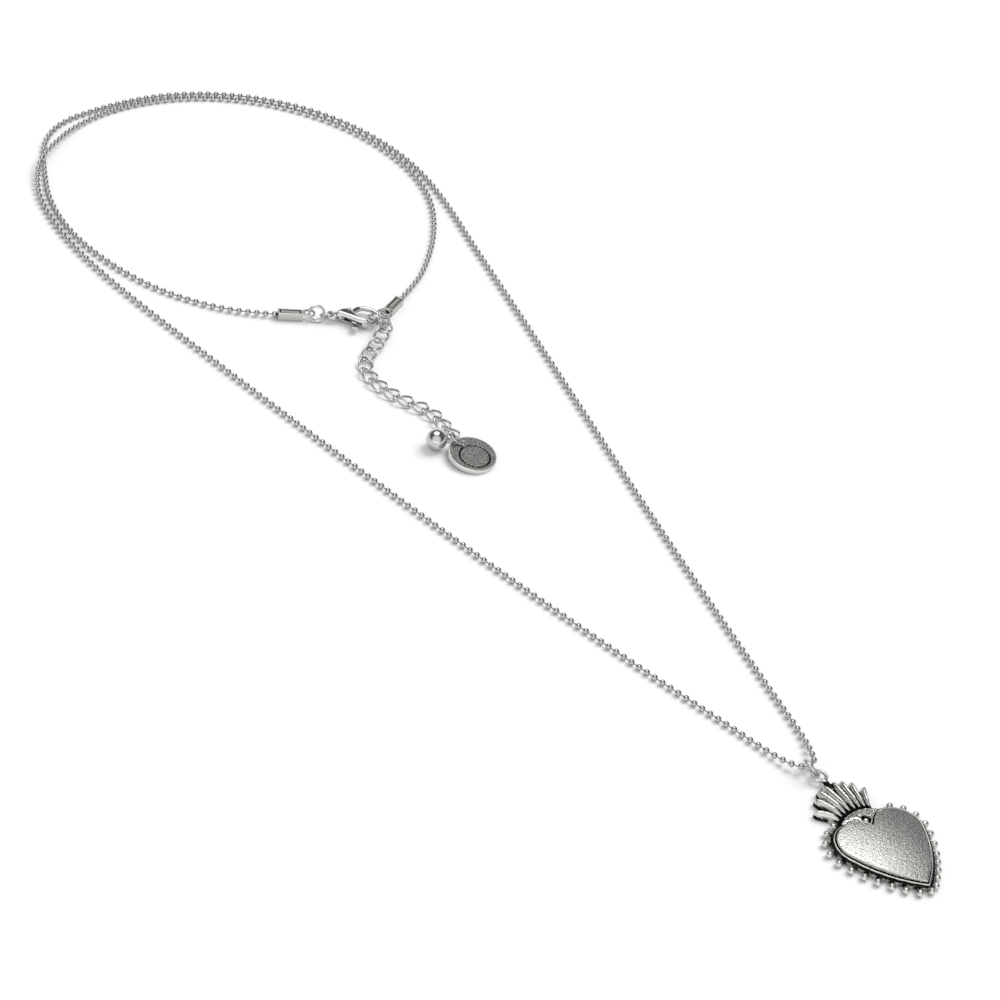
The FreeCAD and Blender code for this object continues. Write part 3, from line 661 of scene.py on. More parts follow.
@dataclass(frozen=True)
class BallChain:
    """The necklace's one long chain of beads on pins, a free cord between the crimp ends."""

    diameter: float = 1.5
    pitch: float = 2.15
    pin_radius: float = 0.14
    length: float = 915.0

    def route(self) -> list[Vector]:
        """Control points of the chain, in metres.

        Returns:
            The points from the left crimp end's grip to the right one's.
        """
        out = [
            (-.015001, .207273, .0011), (-.0246, .2123, .00102), (-.0332, .2206, .00075),
            (-.0404, .2308, .00075), (-.0452, .2436, .00075), (-.0475, .2586, .00075),
            (-.0455, .273, .00075), (-.0398, .2856, .00075), (-.0343, .2962, .00075),
            (-.0254, .3032, .00075), (-.012, .3052, .00075), (.003, .3054, .00075),
            (.0175, .3016, .00075), (.0309, .2939, .00075), (.0418, .2824, .00075),
            (.049, .268, .00075), (.0519, .251, .00075), (.0496, .2336, .00075),
            (.0452, .216, .00075), (.0386, .186, .00075), (.0293, .146, .00075),
            (.0186, .1, .00075), (.0106, .062, .00075), (.007, .044, .00075),
            (.0052, .035, .0008), (.0033, .0302, .00135),
        ]
        through = [(.001308, .02649, .002094), (-.002392, .02649, .002094)]
        back = [
            (-.0042, .0308, .00135), (-.0055, .0366, .0008), (-.0082, .047, .00075),
            (-.0136, .066, .00075), (-.0228, .103, .00075), (-.0314, .1435, .00075),
            (-.0386, .181, .00075), (-.0438, .2095, .00075), (-.0473, .2295, .00075),
            (-.0492, .245, .00075), (-.0497, .2594, .00075), (-.0477, .2736, .00075),
            (-.0436, .2828, .0014), (-.0389, .2887, .0025), (-.0318, .2933, .0025),
            (-.0242, .2989, .0011), (-.0124, .3031, .00075), (.0028, .3034, .00075),
            (.0167, .2998, .00075), (.0297, .2923, .00075), (.0402, .2811, .00075),
            (.0471, .2673, .00075), (.0497, .2516, .00075), (.047, .2366, .00075),
            (.0392, .2236, .00075), (.0295, .213, .00075), (.021, .206, .00102),
            (.01006, .200157, .0011),
        ]
        return [Vector(p) for p in (*out, *through, *back)]

    def line(self) -> list[Vector]:
        """Points along the smooth curve of the route, in metres."""
        data = bpy.data.curves.new("chain_route", "CURVE")
        data.dimensions = "3D"
        spline = data.splines.new("NURBS")
        route = self.route()
        spline.points.add(len(route) - 1)
        for point, place in zip(spline.points, route):
            point.co = (*place, 1)
        spline.order_u = 3
        spline.use_endpoint_u = True
        spline.resolution_u = 10
        curve = settle(show("chain_route", data))
        points = [vertex.co.copy() for vertex in curve.data.vertices]
        drop(curve)
        return points

    def build(self) -> bpy.types.Object:
        """Returns:
            The chain.
        """
        points = self.line()
        metal = BEAD_PLATE.material()
        chain = run_tree(open_line("ball_chain_beads", points), bead_chain_tree(), {
            "Pitch": self.pitch * MM, "Bead Radius": self.diameter / 2 * MM,
            "Pin Radius": self.pin_radius * MM, "Finish": metal})
        dress(chain, metal, Slot.BEADS, Body.NECKLACE, "ball_chain")
        return chain


# Heart casting

@dataclass(frozen=True)
class HeartCasting:
    """The cast heart with its border of pearls, crown band, flames and hanging eye."""

    lobe: tuple[float, float] = (5.2, 3.9)
    lobe_radius: float = 5.25
    side_radius: float = 30.0
    tip_drop: float = 11.2
    notch_slope: float = 43.0
    plate: float = 1.3
    border: float = 1.1
    rim_in: float = 0.25
    rim_out: float = 0.6
    rim_rise: float = 0.5
    top: float = 3.1
    bulge: float = 72.0
    edge_round: float = 0.22
    pearl: float = 0.82
    pearl_offset: float = 2.0
    pearl_shift: tuple[float, float] = (-0.4, -0.2)
    pearl_start: float = 2.8
    even_pitch: float = 2.95
    close_pitch: float = 2.3
    tip_pearl_drop: float = 1.7
    stem: float = 0.42
    crown: tuple[float, float, float] = (7.4, 4.7, 2.5)
    crown_up: float = 8.0
    crown_gap: float = 0.75
    notch_ball: float = 0.75
    notch_ball_up: float = 8.4
    notch_ball_top: float = 2.3
    flame_height: float = 2.2
    flame_root: float = 0.5
    flame_widths: tuple[float, ...] = (1.15, 1.55, 1.9, 2.05, 2.1, 2.0)
    flame_tip: float = 0.3
    flame_bend: tuple[float, float] = (0.22, 0.62)
    flame_fill: float = 0.47
    bed: float = 0.9
    eye_up: float = 23.5
    eye_height: float = 1.4
    eye_radius: float = 1.5
    eye_wire: float = 0.42
    neck: float = 1.5
    grain: float = 0.1
    mark: float = 0.75
    mark_depth: float = 0.28
    mark_from: float = 1.45
    fine_hollow: float = 0.012
    broad_hollow: float = 0.08
    pearl_hollow: float = 0.09
    oxide_all: float = 0.12
    # Painted shade on the dome's upward faces, as the least darkness they get
    painted_dome_shade: float = 0.34
    oxide_wall: float = 0.45
    oxide_low: float = 0.72
    oxide_pearl_foot: float = 0.7
    oxide_back: float = 0.35

    def tongues(self) -> tuple[tuple[float, float, float], ...]:
        """Tip across, tip up and root across of each flame tongue, from left to right."""
        return ((-8.3, 15.5, -4.7), (-5.8, 18.4, -3.4), (-3.5, 20.1, -2.1), (-1.4, 20.8, -.75),
                (1.3, 20.8, .75), (3.2, 20.2, 2.0), (5.0, 18.9, 3.1), (6.7, 16.5, 4.0))

    def side_centre(self) -> Vector:
        """Centre of the long side arc that runs tangent from the lobe to the tip."""
        lobe, tip = Vector((*self.lobe, 0)), Vector((0, -self.tip_drop, 0))
        gap = (tip - lobe).length
        reach = self.side_radius - self.lobe_radius
        along = (reach ** 2 - self.side_radius ** 2 + gap ** 2) / (2 * gap)
        line = (tip - lobe).normalized()
        across = Vector((line.y, -line.x, 0))
        if across.x > 0:
            across.negate()
        return lobe + line * along + across * math.sqrt(reach ** 2 - along ** 2)

    def half_outline(self, offset: float) -> list[Vector]:
        """The right half of the outline, grown by an offset, from the notch to the tip.

        Args:
            offset: Growth in millimetres.

        Returns:
            Points at even angles along the lobe and the side.
        """
        lobe, side = Vector((*self.lobe, 0)), self.side_centre()
        slope = math.radians(self.notch_slope)
        radius = self.lobe_radius + offset
        start = lobe + Vector((-math.sin(slope), math.cos(slope), 0)) * radius
        notch = Vector((0, start.y - start.x * math.tan(slope), 0))
        down = math.degrees(math.atan2(lobe.y - side.y, lobe.x - side.x))
        first = 90 + self.notch_slope
        points = [notch, notch.lerp(start, 0.5)]
        points += [lobe + level(first + (down - first) * i / 32, radius) for i in range(33)]
        reach = self.side_radius + offset
        tip = Vector((0, side.y - math.sqrt(reach ** 2 - side.x ** 2), 0))
        last = math.degrees(math.atan2(tip.y - side.y, tip.x - side.x))
        points += [side + level(down + (last - down) * i / 16, reach) for i in range(1, 17)]
        points[-1].x = 0
        return points

    def outline(self, offset: float) -> list[Vector]:
        """The whole outline, grown by an offset."""
        right = self.half_outline(offset)
        return right + [Vector((-p.x, p.y, 0)) for p in reversed(right[1:-1])]

    def dome_height(self, point: Vector) -> float:
        """Height of the dome's great sphere over a point."""
        return self.top - self.bulge + math.sqrt(self.bulge ** 2 - point.x ** 2 - point.y ** 2)

    def crown_height(self, x: float | np.ndarray, y: float | np.ndarray) -> np.ndarray:
        """Height of the crown band's surface over one place or many, or 0 beside it."""
        wide, deep, high = self.crown
        inside = 1 - (x / wide) ** 2 - ((y - self.crown_up) / deep) ** 2
        return high * np.sqrt(np.clip(inside, 0, 1))

    def dome(self) -> bpy.types.Object:
        """The raised heart, with a rolled edge."""
        bend = self.edge_round
        rings = [[p + UP * (self.plate - 0.3) for p in self.outline(0)]]
        for angle in (90 * i / 5 for i in range(6)):
            inset = bend * (1 - math.cos(math.radians(angle)))
            drop_by = bend * (1 - math.sin(math.radians(angle)))
            rings.append([p + UP * (self.dome_height(p) - drop_by)
                          for p in self.outline(-inset)])
        centre = Vector((0, 1, 0))
        inner = self.outline(-bend)
        for share in (0.93, 0.85, 0.75, 0.63, 0.5, 0.37, 0.24, 0.12, 0.04):
            ring = [centre + (p - centre) * share for p in inner]
            rings.append([p + UP * self.dome_height(p) for p in ring])
        return from_rings("dome", rings)

    def rim(self) -> bpy.types.Object:
        """The thin raised line round the dome, which climbs over the crown band."""
        low, rings = self.plate - 0.3, []
        inner, outer = self.outline(self.rim_in), self.outline(self.rim_out)

        def crest(p: Vector) -> float:
            return max(self.plate + self.rim_rise, float(self.crown_height(p.x, p.y)) + 0.05)

        for inside, outside in zip(inner, outer):
            middle = inside.lerp(outside, 0.5)
            rings.append([inside + UP * low, inside + UP * (crest(inside) - 0.12),
                          middle + UP * crest(middle), outside + UP * (crest(outside) - 0.12),
                          outside + UP * low])
        return from_rings("rim", rings, closed=True)

    def crown_band(self) -> bpy.types.Object:
        """The domed band above the lobes, cut back round the heart and round the ball."""
        wide, deep, high = self.crown
        rings = []
        for rise in (0, 8, 20, 35, 50, 65, 80):
            grow, up = math.cos(math.radians(rise)), math.sin(math.radians(rise))
            rings.append([Vector((wide * grow * math.cos(2 * math.pi * j / 64),
                                  self.crown_up + deep * grow * math.sin(2 * math.pi * j / 64),
                                  high * up)) for j in range(64)])
        band = from_rings("crown_band", rings)
        heart = self.outline(self.crown_gap)
        carve(band, from_rings("heart_cut", [[p + UP * z for p in heart] for z in (1.2, 4)]))
        well = [[Vector((0, self.notch_ball_up, z)) + p for p in circle(r, sides=32)]
                for z, r in ((self.plate - 0.1, self.notch_ball * 1.45),
                             (4, self.notch_ball * 1.75))]
        return carve(band, from_rings("ball_well", well))

    def crown_edge(self, across: float) -> float:
        """Height of the crown band's upper edge, at a distance across."""
        share = across / self.crown[0]
        return self.crown_up + self.crown[1] * math.sqrt(1 - share ** 2)

    def tongue(self, tip_x: float, tip_y: float, root_x: float) -> bpy.types.Object:
        """One flame tongue: a curved, tapered ridge from the crown band to its tip."""
        root = Vector((root_x, self.crown_edge(root_x) - self.flame_root, 0))
        tip = Vector((tip_x, tip_y, 0))
        across, up = self.flame_bend
        bend = root + Vector(((tip.x - root.x) * across, (tip.y - root.y) * up, 0))
        arch = [(math.cos(math.radians(a)), math.sin(math.radians(a)))
                for a in range(0, 181, 15)]
        rings, steps = [], 20
        for i in range(steps + 1):
            t = i / steps
            width = float(np.interp(t * (len(self.flame_widths) - 1),
                                    range(len(self.flame_widths)), self.flame_widths))
            here = root * (1 - t) ** 2 + bend * 2 * t * (1 - t) + tip * t ** 2
            along = ((bend - root) * (1 - t) + (tip - bend) * t).normalized()
            beside = Vector((along.y, -along.x, 0))
            past = max(0.0, t - 1 + self.flame_tip) / self.flame_tip
            round_off = math.sqrt(max(0.0, 1 - past ** 2))
            width *= 0.2 + 0.8 * round_off
            height = self.flame_height * (0.55 + 0.45 * min(1.0, t / 0.3) ** 0.7)
            height *= 0.62 + 0.38 * round_off
            rings.append([here + beside * (self.flame_fill * width * side)
                          + UP * (0.05 + height * 0.97 * lift) for side, lift in arch])
        return from_rings("tongue", rings)

    def flame_bed(self) -> bpy.types.Object:
        """The thin bed that carries the tongues."""
        crown = Vector((0, self.crown_up, 0))
        places = self.tongues()
        rim = [crown + (Vector((x, y, 0)) - crown) * 0.82 for x, y, _ in places]
        left, right = places[0][2] - 0.4, places[-1][2] + 0.4
        outline = [Vector((left, self.crown_edge(left) - 1, 0)), *rim,
                   Vector((right, self.crown_edge(right) - 1, 0))]
        return from_rings("bed", [[p + UP * z for p in outline] for z in (0, self.bed)])

    def pearl_places(self) -> list[Vector]:
        """Centres of the border pearls: even on the left, closer near the tip on the right."""
        half = list(reversed(self.half_outline(self.pearl_offset)))
        lengths = [0.0]
        for before, after in zip(half, half[1:]):
            lengths.append(lengths[-1] + (after - before).length)
        right = [self.close_pitch] * 4 + [self.even_pitch] * 6
        left = [self.even_pitch] * 10
        shift = Vector((*self.pearl_shift, 0))
        places = [Vector((0, -self.tip_drop - self.tip_pearl_drop, 0))]
        for steps, mirror in ((right, 1), (left, -1)):
            distance = self.pearl_start
            for step in (0, *steps):
                distance += step
                x = float(np.interp(distance, lengths, [p.x for p in half]))
                y = float(np.interp(distance, lengths, [p.y for p in half]))
                places.append(Vector((mirror * x, y, 0)) + shift)
        return places

    def border_pearls(self) -> bpy.types.Object:
        """The pearls and their stems."""
        places = self.pearl_places()
        middle = Vector((0, self.lobe[1] / 2, 0))
        inward = [(middle - p).normalized() for p in places]
        spots = points_with("pearls", [p + UP * self.pearl for p in places], "inward", inward)
        return run_tree(spots, pearl_tree(), {
            "Pearl Radius": self.pearl * MM, "Stem Radius": self.stem * MM,
            "Stem Reach": self.pearl_offset * MM})

    def eye_and_neck(self) -> list[bpy.types.Object]:
        """The hanging eye, with the neck that joins it to the flames."""
        centre = Vector((0, self.eye_up, self.eye_height))
        rings = hoop(centre, self.eye_radius, self.eye_wire, range(0, 360, 9), 24)
        low = self.tongues()[3][1] - 2.4
        high = self.eye_up - self.eye_radius
        neck = [[Vector((self.neck / 2 * math.cos(math.radians(a)), y,
                         lift + 0.45 * math.sin(math.radians(a)))) for a in range(0, 360, 24)]
                for y, lift in ((low, self.eye_height - 0.5), (high, self.eye_height))]
        return [from_rings("eye", rings, closed=True), from_rings("neck", neck)]

    def build(self) -> bpy.types.Object:
        """Melt all parts into one casting, and store its patina with the painted shade on its
        dome.

        Returns:
            The heart casting.
        """
        back = [[p + UP * z for p in self.outline(self.border - inset)]
                for z, inset in ((0, 0.12), (0.12, 0), (self.plate - 0.15, 0),
                                 (self.plate, 0.15))]
        centre = Vector((0, self.notch_ball_up, self.notch_ball_top - self.notch_ball))
        parts = [from_rings("back_plate", back), self.dome(), self.rim(), self.crown_band(),
                 self.flame_bed(), self.border_pearls(),
                 ball("notch_ball", centre, self.notch_ball), *self.eye_and_neck(),
                 *(self.tongue(*place) for place in self.tongues())]
        heart = fused(joined("heart_cast", parts), self.grain, 2)
        self.age(heart)
        self.hammer(heart)
        return dress(heart, ANTIQUE.material(), Slot.ANTIQUE, Body.HEART, "heart_casting")

    def hammer(self, heart: bpy.types.Object) -> None:
        """Dent the crown band with small hammer marks."""
        for vertex in heart.data.vertices:
            x, y, z = vertex.co / MM
            crest = self.crown_height(x, y)
            on_band = crest > 0 and self.mark_from < z < crest + 0.15
            if on_band and math.hypot(x, y - self.notch_ball_up) > 2 * self.notch_ball:
                nearest = noise.voronoi(Vector((x, y, 0)) / self.mark)[0][0]
                vertex.co.z -= self.mark_depth * MM * max(0.0, 1 - 1.6 * nearest)

    def age(self, heart: bpy.types.Object) -> None:
        """Store the patina in every hollow and on the plates below the bright parts, and
        painted shade on the dome's upward faces.
        """
        mesh = heart.data
        fine, broad = curvature(mesh, 3), curvature(mesh, 25)
        across, up, high = vertex_values(mesh, "co").T / MM
        rise = vertex_values(mesh, "normal")[:, 2]
        oxide = (self.oxide_all + fine / (self.fine_hollow * MM)
                 + broad / (self.broad_hollow * MM))
        band = self.crown_height(across, up)
        # Painted shade: the dome's upward faces are made darker than their patina alone would
        # leave them.
        dome = (rise > 0.85) & (high > 1.7) & (high > band + 0.12) & (up < 12)
        low_plate = (rise > 0.3) & (high < self.plate + 0.12) & (high > 0.4)
        in_flames = (up > self.crown_edge(0)) & (high < self.bed + 0.15) & (rise > -0.2)
        on_neck = ((np.abs(across) < self.neck / 2 + 0.1) & (up > 19.2) & (up < 21.6)
                   & (high < 1.8))
        wall = (np.abs(rise) <= 0.3) & (high < self.plate) & (up < self.crown_up)
        for where, least in ((dome, self.painted_dome_shade), (wall, self.oxide_wall),
                             (low_plate | in_flames | on_neck, self.oxide_low)):
            oxide = np.where(where, np.maximum(oxide, least), oxide)
        for pearl in self.pearl_places():
            gap = np.sqrt((across - pearl.x) ** 2 + (up - pearl.y) ** 2
                          + (high - self.pearl) ** 2)
            own = np.where(high < 0.4 * self.pearl, self.oxide_pearl_foot,
                           np.clip(broad / (self.pearl_hollow * MM), 0, 1))
            oxide = np.where(gap < self.pearl + 0.06, own, oxide)
        oxide = np.where(rise < -0.7, np.clip(oxide, 0, self.oxide_back), oxide)
        set_oxide_and_shade(heart, oxide)


# Jump rings

@dataclass(frozen=True)
class JumpRing:
    """A leaning ring of round wire with its cut, on the table."""

    name: str
    place: tuple[float, float, float]
    heading: float
    lean: float
    radius: float
    wire: float
    body: Body = Body.NECKLACE
    node: str = ""
    cut_at: float = 200.0
    cut: float = 2.0

    def build(self, metal: bpy.types.Material, tree: bpy.types.NodeTree) -> bpy.types.Object:
        """Bend the ring.

        Args:
            metal: Its finish.
            tree: The wire tree.

        Returns:
            The ring.
        """
        x, y, lift = self.place
        centre = Vector((x, y, resting_height(self.lean, self.radius, self.wire) + lift))
        turn = lean_turn(self.heading, self.lean)
        span = 360 - self.cut
        points = [(centre + turn @ level(self.cut_at + self.cut / 2 + span * i / 56,
                                         self.radius)) * MM for i in range(57)]
        ring = run_tree(open_line(self.name, points), tree,
                        {"Wire Radius": self.wire * MM, "Sides": 14, "Finish": metal})
        return dress(ring, metal, Slot.BRIGHT, self.body, self.node)


def jump_rings() -> list[JumpRing]:
    """All jump rings, where the frame has them.

    Returns:
        The rings from the clasp to the charms, then the pendant's own.
    """
    lean, radius, wire = 38.0, 2.2, 0.36
    drop_by = resting_height(lean, radius, wire) - HeartCasting.eye_height
    seat = (-drop_by * math.tan(math.radians(lean)), HeartCasting.eye_up + radius, 0.0)
    return [
        JumpRing("clasp_ring", (-9.71, 204.55, 0.0), -26, 38, 1.85, 0.36,
                 node="clasp_jump_ring"),
        JumpRing("clasp_small_ring", (-7.42, 203.47, 0.06), -26, -43.5, 1.55, 0.3,
                 node="clasp_link"),
        JumpRing("catch_ring", (2.57, 196.3, 0.03), -51.3, -36.4, 2.3, 0.32, node="end_ring"),
        JumpRing("catch_small_ring", (4.61, 196.53, 0.02), 36.7, 45.7, 2.13, 0.28,
                 node="end_link"),
        JumpRing("charms_ring", (-6.55, 149.85, 0.01), -96.2, -44.6, 2.45, 0.32,
                 node="charm_ring"),
        JumpRing("pendant_ring", seat, 90, lean, radius, wire, Body.RING, "pendant_jump_ring"),
    ]


# Crimp ends

@dataclass(frozen=True)
class CrimpEnd:
    """A folded sheet end with a pressed panel on its back and a flat loop."""

    name: str
    node: str
    mouth: tuple[float, float]
    heading: float
    length: float = 6.0
    half: float = 1.15
    height: float = 2.2
    wall: float = 0.3
    seam: float = 0.15
    panel_depth: float = 0.14
    panel_edge: float = 0.38
    loop_at: float = 7.6
    loop_radius: float = 1.5
    loop_hole: float = 1.0
    loop_thick: float = 0.5
    loop_edge: float = 0.12
    tab_from: float = 5.55

    def section(self, sunk: float) -> list[Vector]:
        """The folded sheet's section across the end.

        Args:
            sunk: How far the panel on the back is pressed in.

        Returns:
            Points across and up, from the seam round the outside and back inside.
        """
        half, high, bend = self.half, self.height, 0.25

        def bent(x: float, z: float, first: float) -> list[Vector]:
            angles = (math.radians(first - 22.5 * i) for i in range(5))
            return [Vector((0, x + bend * math.cos(a), z + bend * math.sin(a))) for a in angles]

        flat = half - self.panel_edge
        panel = [Vector((0, x, z)) for x, z in ((-flat, high), (-flat + 0.06, high - sunk),
                                                (flat - 0.06, high - sunk), (flat, high))]
        corners = [*bent(-half + bend, bend, 270), *bent(-half + bend, high - bend, 180),
                   *panel, *bent(half - bend, high - bend, 90), *bent(half - bend, bend, 0)]
        inside, top = self.half - self.wall, self.height - self.wall
        inner = [(self.seam, 0.02), (self.seam, self.wall), (inside, self.wall), (inside, top),
                 (-inside, top), (-inside, self.wall), (-self.seam, self.wall),
                 (-self.seam, 0.02)]
        return corners + [Vector((0, x, z)) for x, z in inner]

    def build(self, metal: bpy.types.Material) -> bpy.types.Object:
        """Fold the end and fuse its loop on.

        Args:
            metal: Its finish.

        Returns:
            The crimp end.
        """
        place = Matrix.Translation((*self.mouth, 0)) @ turn_about("Z", self.heading)
        rings, steps = [], 72
        for i in range(steps + 1):
            x = self.length * i / steps
            inset = min(x, self.length - x) - self.panel_edge
            sunk = self.panel_depth * min(max(inset / 0.1, 0.0), 1.0)
            rings.append([p + Vector((x, 0, 0)) for p in self.section(sunk)])
        sleeve = from_rings(self.name, rings, place=place)
        inside, centre = self.half - self.wall, self.loop_at
        low = centre - self.loop_radius * math.sin(math.acos(inside / self.loop_radius))
        first = math.degrees(math.atan2(-inside, low - centre))
        arc = [Vector((centre, 0, 0)) + level(first - 2 * first * i / 30, self.loop_radius)
               for i in range(31)]
        tab = [Vector((self.tab_from, -inside, 0)), *arc, Vector((self.tab_from, inside, 0))]
        raised = place @ Matrix.Translation((0, 0, self.height - self.loop_thick / 2))
        loop = flat_plate("loop", [tab, circle(self.loop_hole, (centre, 0))], self.loop_thick,
                          self.loop_edge, raised)
        end = fused(joined(self.name, [sleeve, loop]), 0.055, 2, 60000)
        set_oxide_and_shade(end, 0.15 + curvature(end.data, 12) / (0.02 * MM))
        return dress(end, metal, Slot.MATTE, Body.NECKLACE, self.node)


# Lobster clasp

@dataclass(frozen=True)
class LobsterClasp:
    """The clasp's polished body, its sprung lever and the rivet between them."""

    eye: tuple[float, float, float] = (-6.1, 202.8, 1.5)
    heading: float = -24.8
    eye_radius: float = 1.25
    eye_wire: float = 0.42
    thick: float = 2.8
    spine: tuple[float, ...] = (1.6, 0.1, 7.4, -3.2)
    fullness: float = 2.8
    slot: float = 1.0
    slot_from: float = 2.0
    slot_to: float = 6.6
    hook_at: tuple[float, float] = (8.0, -0.2)
    hook_radius: float = 3.1
    hook_wire: float = 0.62
    hook_start: float = -100.0
    hook_end: float = 104.0
    rivet_at: tuple[float, float] = (4.2, 1.3)
    rivet: float = 0.4
    rivet_reach: float = 1.28

    def housing_outline(self) -> list[Vector]:
        """The hollow housing seen from above, in the clasp's own frame."""
        return smooth_outline(((0.9, -0.6), (2.2, -1.2), (4.0, -2.3), (5.6, -3.4), (7.0, -3.9),
                               (8.1, -4.0), (8.5, -3.3), (7.9, -2.6), (6.6, -2.1), (5.8, -0.9),
                               (5.5, 0.6), (5.0, 1.9), (4.1, 2.45), (2.9, 2.0), (1.8, 1.1),
                               (0.9, 0.6)))

    def housing(self) -> bpy.types.Object:
        """The housing: a teardrop whose surface swells from its outline to a spine."""
        start, end = Vector((*self.spine[:2], 0)), Vector((*self.spine[2:], 0))
        line, rings = end - start, []
        shares = (0.12, 0.3, 0.5, 0.68, 0.82, 0.92, 0.98)
        for side, steps in ((-1, shares), (1, (1.0, *reversed(shares)))):
            for share in steps:
                lift = side * self.thick / 2 * math.sqrt(1 - share ** self.fullness)
                ring = []
                for p in self.housing_outline():
                    along = min(max((p - start).dot(line) / line.length_squared, 0.0), 1.0)
                    ring.append((start + line * along).lerp(p, share) + UP * lift)
                rings.append(ring)
        return from_rings("clasp_housing", rings, place=self.place())

    def place(self) -> Matrix:
        """The clasp's own frame: its eye at the origin and its hook towards +X."""
        return Matrix.Translation(self.eye) @ turn_about("Z", self.heading)

    def tube(self, name: str, centre: Vector, radius: float, wire: float, start: float,
             end: float, closed: bool) -> bpy.types.Object:
        """Round bar along an arc in the clasp's plane.

        Args:
            name: Name of the piece.
            centre: Middle of the arc.
            radius: Radius of the arc.
            wire: Radius of the bar.
            start: First angle.
            end: Last angle.
            closed: Whether the arc is a whole ring.

        Returns:
            The bar.
        """
        steps = 40
        angles = [start + (end - start) * i / steps
                  for i in range(steps if closed else steps + 1)]
        return from_rings(name, hoop(centre, radius, wire, angles, 20), closed, self.place())

    def build(self, metal: bpy.types.Material) -> list[bpy.types.Object]:
        """Make the body, the lever and the rivet.

        Args:
            metal: Their finish.

        Returns:
            The three pieces.
        """
        body, half = self.housing(), self.slot / 2
        mouth = [[Vector((x, y, z)) for x, z in ((self.slot_from, -half), (self.slot_to, -half),
                                                 (self.slot_to, half), (self.slot_from, half))]
                 for y in (-5, 5)]
        carve(body, from_rings("slot", mouth, place=self.place()))
        hook = self.tube("hook", Vector((*self.hook_at, 0)), self.hook_radius, self.hook_wire,
                         self.hook_start, self.hook_end, False)
        tip = self.place() @ (Vector((*self.hook_at, 0)) + level(self.hook_end - 1,
                                                                 self.hook_radius))
        eye = self.tube("eye", Vector((0, 0, 0)), self.eye_radius, self.eye_wire, 0, 360, True)
        point = ball("hook_tip", tip, self.hook_wire * 0.9)
        whole = joined("clasp_case", [body, hook, eye, point])
        case = fused(whole, 0.07, 16, 90000)
        lever = softened_copy("clasp_gate", "clasp_lever", 0.05, 3)
        low, high, bevel = -self.rivet_reach, self.rivet_reach, 0.06
        across, up = self.rivet_at
        heads = [[Vector((across, up, z)) + p for p in circle(r, sides=32)]
                 for z, r in ((low, self.rivet - bevel), (low + bevel, self.rivet),
                              (high - bevel, self.rivet), (high, self.rivet - bevel))]
        rivet = from_rings("clasp_pin", heads, place=self.place())
        return [dress(case, metal, Slot.BRIGHT, Body.NECKLACE, "clasp_body"),
                dress(lever, metal, Slot.BRIGHT, Body.LEVER, "clasp_lever"),
                dress(rivet, metal, Slot.BRIGHT, Body.NECKLACE, "clasp_rivet")]


# Extension chain

@dataclass(frozen=True)
class ExtensionChain:
    """Twisted curb links, each hinged to the one before it at half a pitch."""

    half_length: float = 2.5
    half_width: float = 1.7
    twist: float = 0.55
    wire: float = 0.3
    pitch: float = 4.0
    first: tuple[float, float, float] = (3.22, 193.31, 1.8)
    first_turn: tuple[float, float, float] = (-140.0, 1.2, -15.4)
    first_joint: float = 1.75

    def places(self) -> tuple[list[Vector], list[Vector]]:
        """Middles and turns of all links, from the clasp's ring to the charms' ring.

        Returns:
            The middles in millimetres, and the turns as Euler angles.
        """
        later = ((-138, 1.4), (-153, 1.1), (-141, .9), (-126, .9), (-100, .9), (-84, .9),
                 (-74, .9), (-64, .9), (-60, .9), (-78, .9), (-96, 1.03), (-93, 1.19))
        heading, tilt, roll = self.first_turn
        turns = [turn_about("Z", heading) @ turn_about("Y", tilt) @ turn_about("X", roll)]
        middles = [Vector(self.first)]
        joint = Vector((self.first[0], self.first[1], self.first_joint))
        joint += level(heading, self.pitch / 2)
        for heading, height in later:
            ahead = joint + level(heading, self.pitch)
            ahead.z = height
            tilt = math.degrees(math.asin((joint.z - ahead.z) / self.pitch))
            turns.append(turn_about("Z", heading) @ turn_about("Y", tilt))
            middles.append((joint + ahead) / 2)
            joint = ahead
        return middles, [turn.to_euler("XYZ") for turn in turns]

    def build(self, metal: bpy.types.Material) -> bpy.types.Object:
        """Bend and hang the links.

        Args:
            metal: Their finish.

        Returns:
            The extension chain.
        """
        middles, turns = self.places()
        spots = points_with("extension_links", middles, "turn", turns)
        chain = run_tree(spots, curb_link_tree(), {
            "Half Length": self.half_length * MM, "Half Width": self.half_width * MM,
            "Twist": self.twist * MM, "Wire Radius": self.wire * MM, "Finish": metal})
        nodes = [f"extender_link_{number:02d}" for number in range(1, len(middles) + 1)]
        return dress(chain, metal, Slot.BRIGHT, Body.NECKLACE, *nodes)


# Charms

